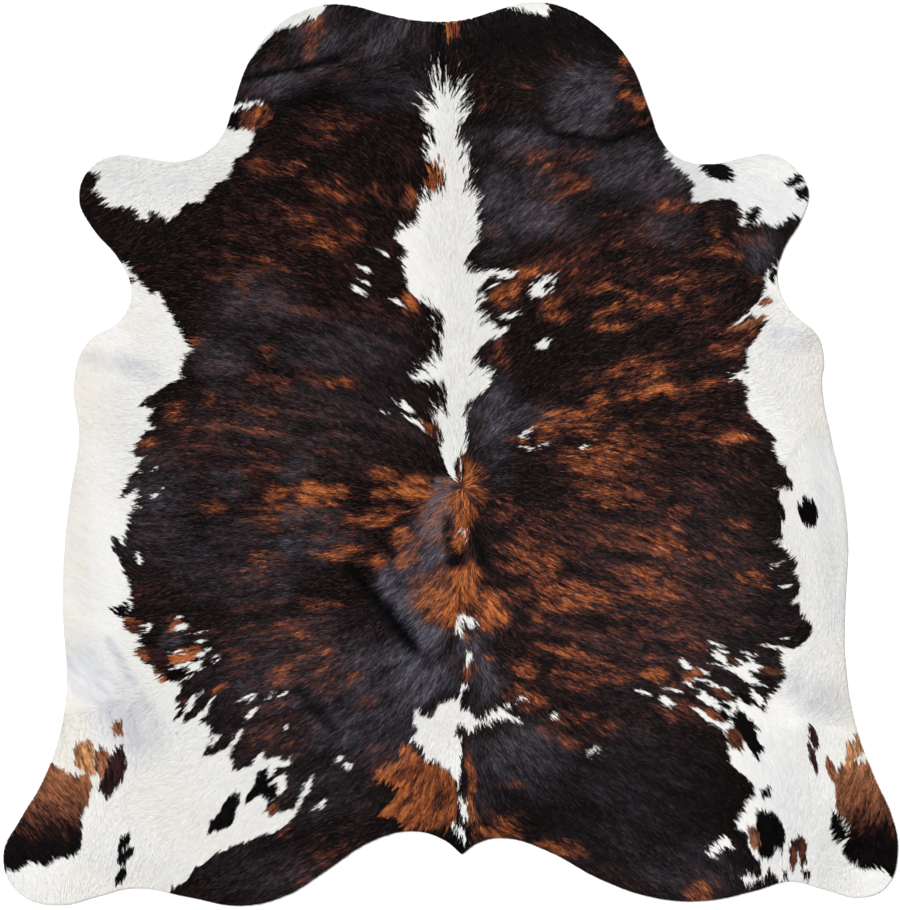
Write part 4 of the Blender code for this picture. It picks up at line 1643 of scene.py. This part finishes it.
    def corners(
        self, blades: Blades, pale: np.ndarray, luck: Luck, shape: HideShape, markings: Markings,
    ) -> np.ndarray:
        """The three corners of each blade, two beside its root and one at its tip.

        Args:
            blades: The blades as they lie.
            pale: Whether each blade is pale. White hair lies flatter.
            luck: The coat's random numbers.
            shape: The hide's outline and folds.
            markings: The coat's colours, for its creases.

        Returns:
            Three rows of x, y and z for each blade, so turned that it faces up.
        """
        x, y, tip_x, tip_y = blades.x, blades.y, blades.tip_x, blades.tip_y
        sleek = np.where(pale, 0.55, 1.0)
        pitch = np.radians(luck.even(*self.pitch) + luck.spread_lock(1.0)) * sleek
        rise = blades.length * np.tan(pitch) * (1.0 - 0.6 * markings.crease.at(x, y))
        root_z = shape.lift.at(x, y) + self.skin_top + luck.even(-0.2, 0.6) * MM
        tip_z = shape.lift.at(tip_x, tip_y) + self.skin_top + self.tip_height + rise
        roll = np.radians(luck.spread_lock(self.lock_roll) + luck.spread(self.hair_roll)) * sleek
        half = self.blade_width / 2 * luck.even(0.7, 1.2)
        side_x, side_y = -blades.north * np.cos(roll) * half, blades.east * np.cos(roll) * half
        side = np.stack([side_x, side_y, np.sin(roll) * half], axis=1)
        root = np.stack([x, y, root_z], axis=1)
        points = np.stack([root - side, np.stack([tip_x, tip_y, tip_z], axis=1), root + side], axis=1)
        flip = np.cross(points[:, 1] - points[:, 0], points[:, 2] - points[:, 0])[:, 2] < 0
        points[flip] = points[flip][:, ::-1]
        return points

    def build(self, shape: HideShape, flow: HairFlow, markings: Markings) -> list[bpy.types.Object]:
        """Builds the whole coat.

        Args:
            shape: The hide's outline and folds.
            flow: Which way the hair lies.
            markings: The coat's colours.

        Returns:
            The bands, dressed.
        """
        blades, luck = self.lay(shape, flow)
        colour, pale = self.tint(blades, luck, markings)
        points = self.corners(blades, pale, luck, shape, markings)
        # painted shade at each blade's root, where the hair over it shades it, and painted light at its
        # tip
        at_root = colour * np.where(pale, 0.95, 0.58)[:, None]
        at_tip = colour * np.where(pale, 1.0, 1.20)[:, None]
        paints = np.stack([at_root, at_tip, at_root], axis=1)

        made = []
        material = self.finish.material()
        cuts = np.quantile(blades.y, np.linspace(0, 1, len(self.bands) + 1))
        cuts[0], cuts[-1] = -np.inf, np.inf
        for name, low, high in zip(self.bands, cuts[:-1], cuts[1:]):
            mine = (blades.y >= low) & (blades.y < high)
            vertices = points[mine].reshape(-1, 3)
            band = object_from(name, vertices, np.arange(len(vertices)).reshape(-1, 3))
            paint(band, np.clip(paints[mine].reshape(-1, 3), 0.0, 1.0))
            lay_flat_map(band)
            band.data.materials.append(material)
            made.append(band)
            log.info("%s: %d blades", name, mine.sum())
        return made


@dataclass
class Undercoat:
    """The short dense hair under the locks, as one smooth layer close to the skin.

    Attributes:
        cell: From one point of the layer to the next.
        height: Over the hide's underside.
        inset: How far the layer stays inside the outline.
        shade: How bright it is against the hair over it.
        glint: How strong its painted glint is.
    """

    cell: float = 10 * MM
    height: float = 2.2 * MM
    inset: float = 2 * MM
    shade: float = 0.8
    glint: float = 0.3

    def build(self, shape: HideShape, markings: Markings, finish: HairFinish) -> bpy.types.Object:
        """Builds the undercoat.

        Args:
            shape: The hide's outline and folds.
            markings: The coat's colours.
            finish: The hair's finish.

        Returns:
            The undercoat, dressed.
        """
        side = np.arange(-ROOT_REACH, ROOT_REACH, self.cell)
        x, y = np.meshgrid(side, side)
        inside = shape.depth.at(x, y) > self.inset
        cells = inside[:-1, :-1] & inside[1:, :-1] & inside[:-1, 1:] & inside[1:, 1:]
        row = x.shape[1]
        first = np.flatnonzero(np.pad(cells, ((0, 1), (0, 1))))
        corners = np.stack([first, first + 1, first + row + 1, first + row], axis=1)
        used, corners = np.unique(corners, return_inverse=True)
        x, y = x.ravel()[used], y.ravel()[used]
        z = shape.lift.at(x, y) + self.height
        made = object_from("undercoat", np.stack([x, y, z], axis=1), corners.reshape(-1, 4))
        plain = np.zeros(x.shape)
        paint(made, self.shade * markings.colour(x, y, plain, plain + self.glint))
        lay_flat_map(made)
        made.data.materials.append(finish.material())
        log.info("undercoat: %d faces", len(made.data.polygons))
        return made


@dataclass(frozen=True)
class PaperFinish:
    """The matt white paper of the studio's floor."""

    name: str = "matt_white_paper"
    roughness: float = 0.9
    specular: float = 0.2

    def material(self) -> bpy.types.Material:
        """Plain white paper.

        Returns:
            The material, ready for the floor.
        """
        made, shader = new_material(self.name, self.roughness)
        shader.inputs["Specular IOR Level"].default_value = self.specular
        shader.inputs["Base Color"].default_value = (*linear(Tone.FLOOR.value), 1)
        return made


@dataclass
class Studio:
    """A plain pale floor, soft light and a camera straight above the hide.

    Attributes:
        floor_side: Of the square floor.
        floor_finish: The floor's finish.
        sky: Strength of the even light from all sides.
        key_power: Of the large soft light, in watts.
        key_side: Of the large soft light, which is square.
        key_place: Where the large soft light is. It faces the hide's middle.
        lens: The camera's focal length, in millimetres.
        sensor: The camera's sensor, in millimetres.
        middle_across: The middle of the photograph's frame on the chart.
        middle_down: The same, down from its top.
        hair_top: How high over the floor the camera's frame is measured.
    """

    floor_side: float = 60.0
    floor_finish: PaperFinish = PaperFinish()
    sky: float = 0.50
    key_power: float = 15000.0
    key_side: float = 12.0
    key_place: tuple[float, float, float] = (-18.0, 16.0, 26.0)
    lens: float = 100.0
    sensor: float = 36.0
    middle_across: float = 450.5
    middle_down: float = 455.5
    hair_top: float = 5 * MM

    def build(self) -> None:
        """Builds the floor, the lights and the camera."""
        bpy.ops.object.select_all(action="DESELECT")
        bpy.ops.mesh.primitive_plane_add(size=self.floor_side, location=(0, 0, 0))
        floor = bpy.context.object
        floor.name = "floor"
        floor.data.materials.append(self.floor_finish.material())
        self.light()
        self.aim()

    def light(self) -> None:
        """One large soft light from the upper left and an even sky."""
        world = bpy.data.worlds.new("studio_sky")
        world.use_nodes = True
        background = world.node_tree.nodes["Background"]
        background.inputs["Color"].default_value = (1, 1, 1, 1)
        background.inputs["Strength"].default_value = self.sky
        bpy.context.scene.world = world
        data = bpy.data.lights.new("key", "AREA")
        data.shape = "SQUARE"
        data.size = self.key_side
        data.energy = self.key_power
        key = bpy.data.objects.new("key", data)
        key.location = self.key_place
        key.rotation_euler = Vector(key.location).to_track_quat("Z", "Y").to_euler()
        bpy.context.scene.collection.objects.link(key)

    def aim(self) -> None:
        """Puts the camera where the photograph was taken from."""
        data = bpy.data.cameras.new("camera")
        data.lens = self.lens
        data.sensor_width = self.sensor
        data.sensor_fit = "AUTO"
        data.clip_end = 100.0
        camera = bpy.data.objects.new("camera", data)
        away = PHOTO_HEIGHT * PIXEL * self.lens / self.sensor
        x, y = chart_place(self.middle_across, self.middle_down)
        camera.location = (x, y, away + self.hair_top)
        bpy.context.scene.collection.objects.link(camera)
        bpy.context.scene.camera = camera


def main() -> None:
    """Builds the rug's looks and the studio."""
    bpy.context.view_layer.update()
    shape = HideShape(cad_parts["hide"])
    log.info("outline: %d steps, highest fold %.1f mm", len(shape.rim), shape.lift.values.max() / MM)
    flow = HairFlow()
    markings = Markings(flow)
    skin = Skin()
    leather = skin.build(shape)
    coat = Coat()
    pile = coat.build(shape, flow, markings)
    pile.append(Undercoat().build(shape, markings, coat.finish))
    for piece in pile:
        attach(piece, "root")
    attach(leather, "root")
    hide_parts("hide")
    Studio().build()
    bpy.context.scene.view_settings.view_transform = "Standard"


if __name__ == "__main__":
    main()
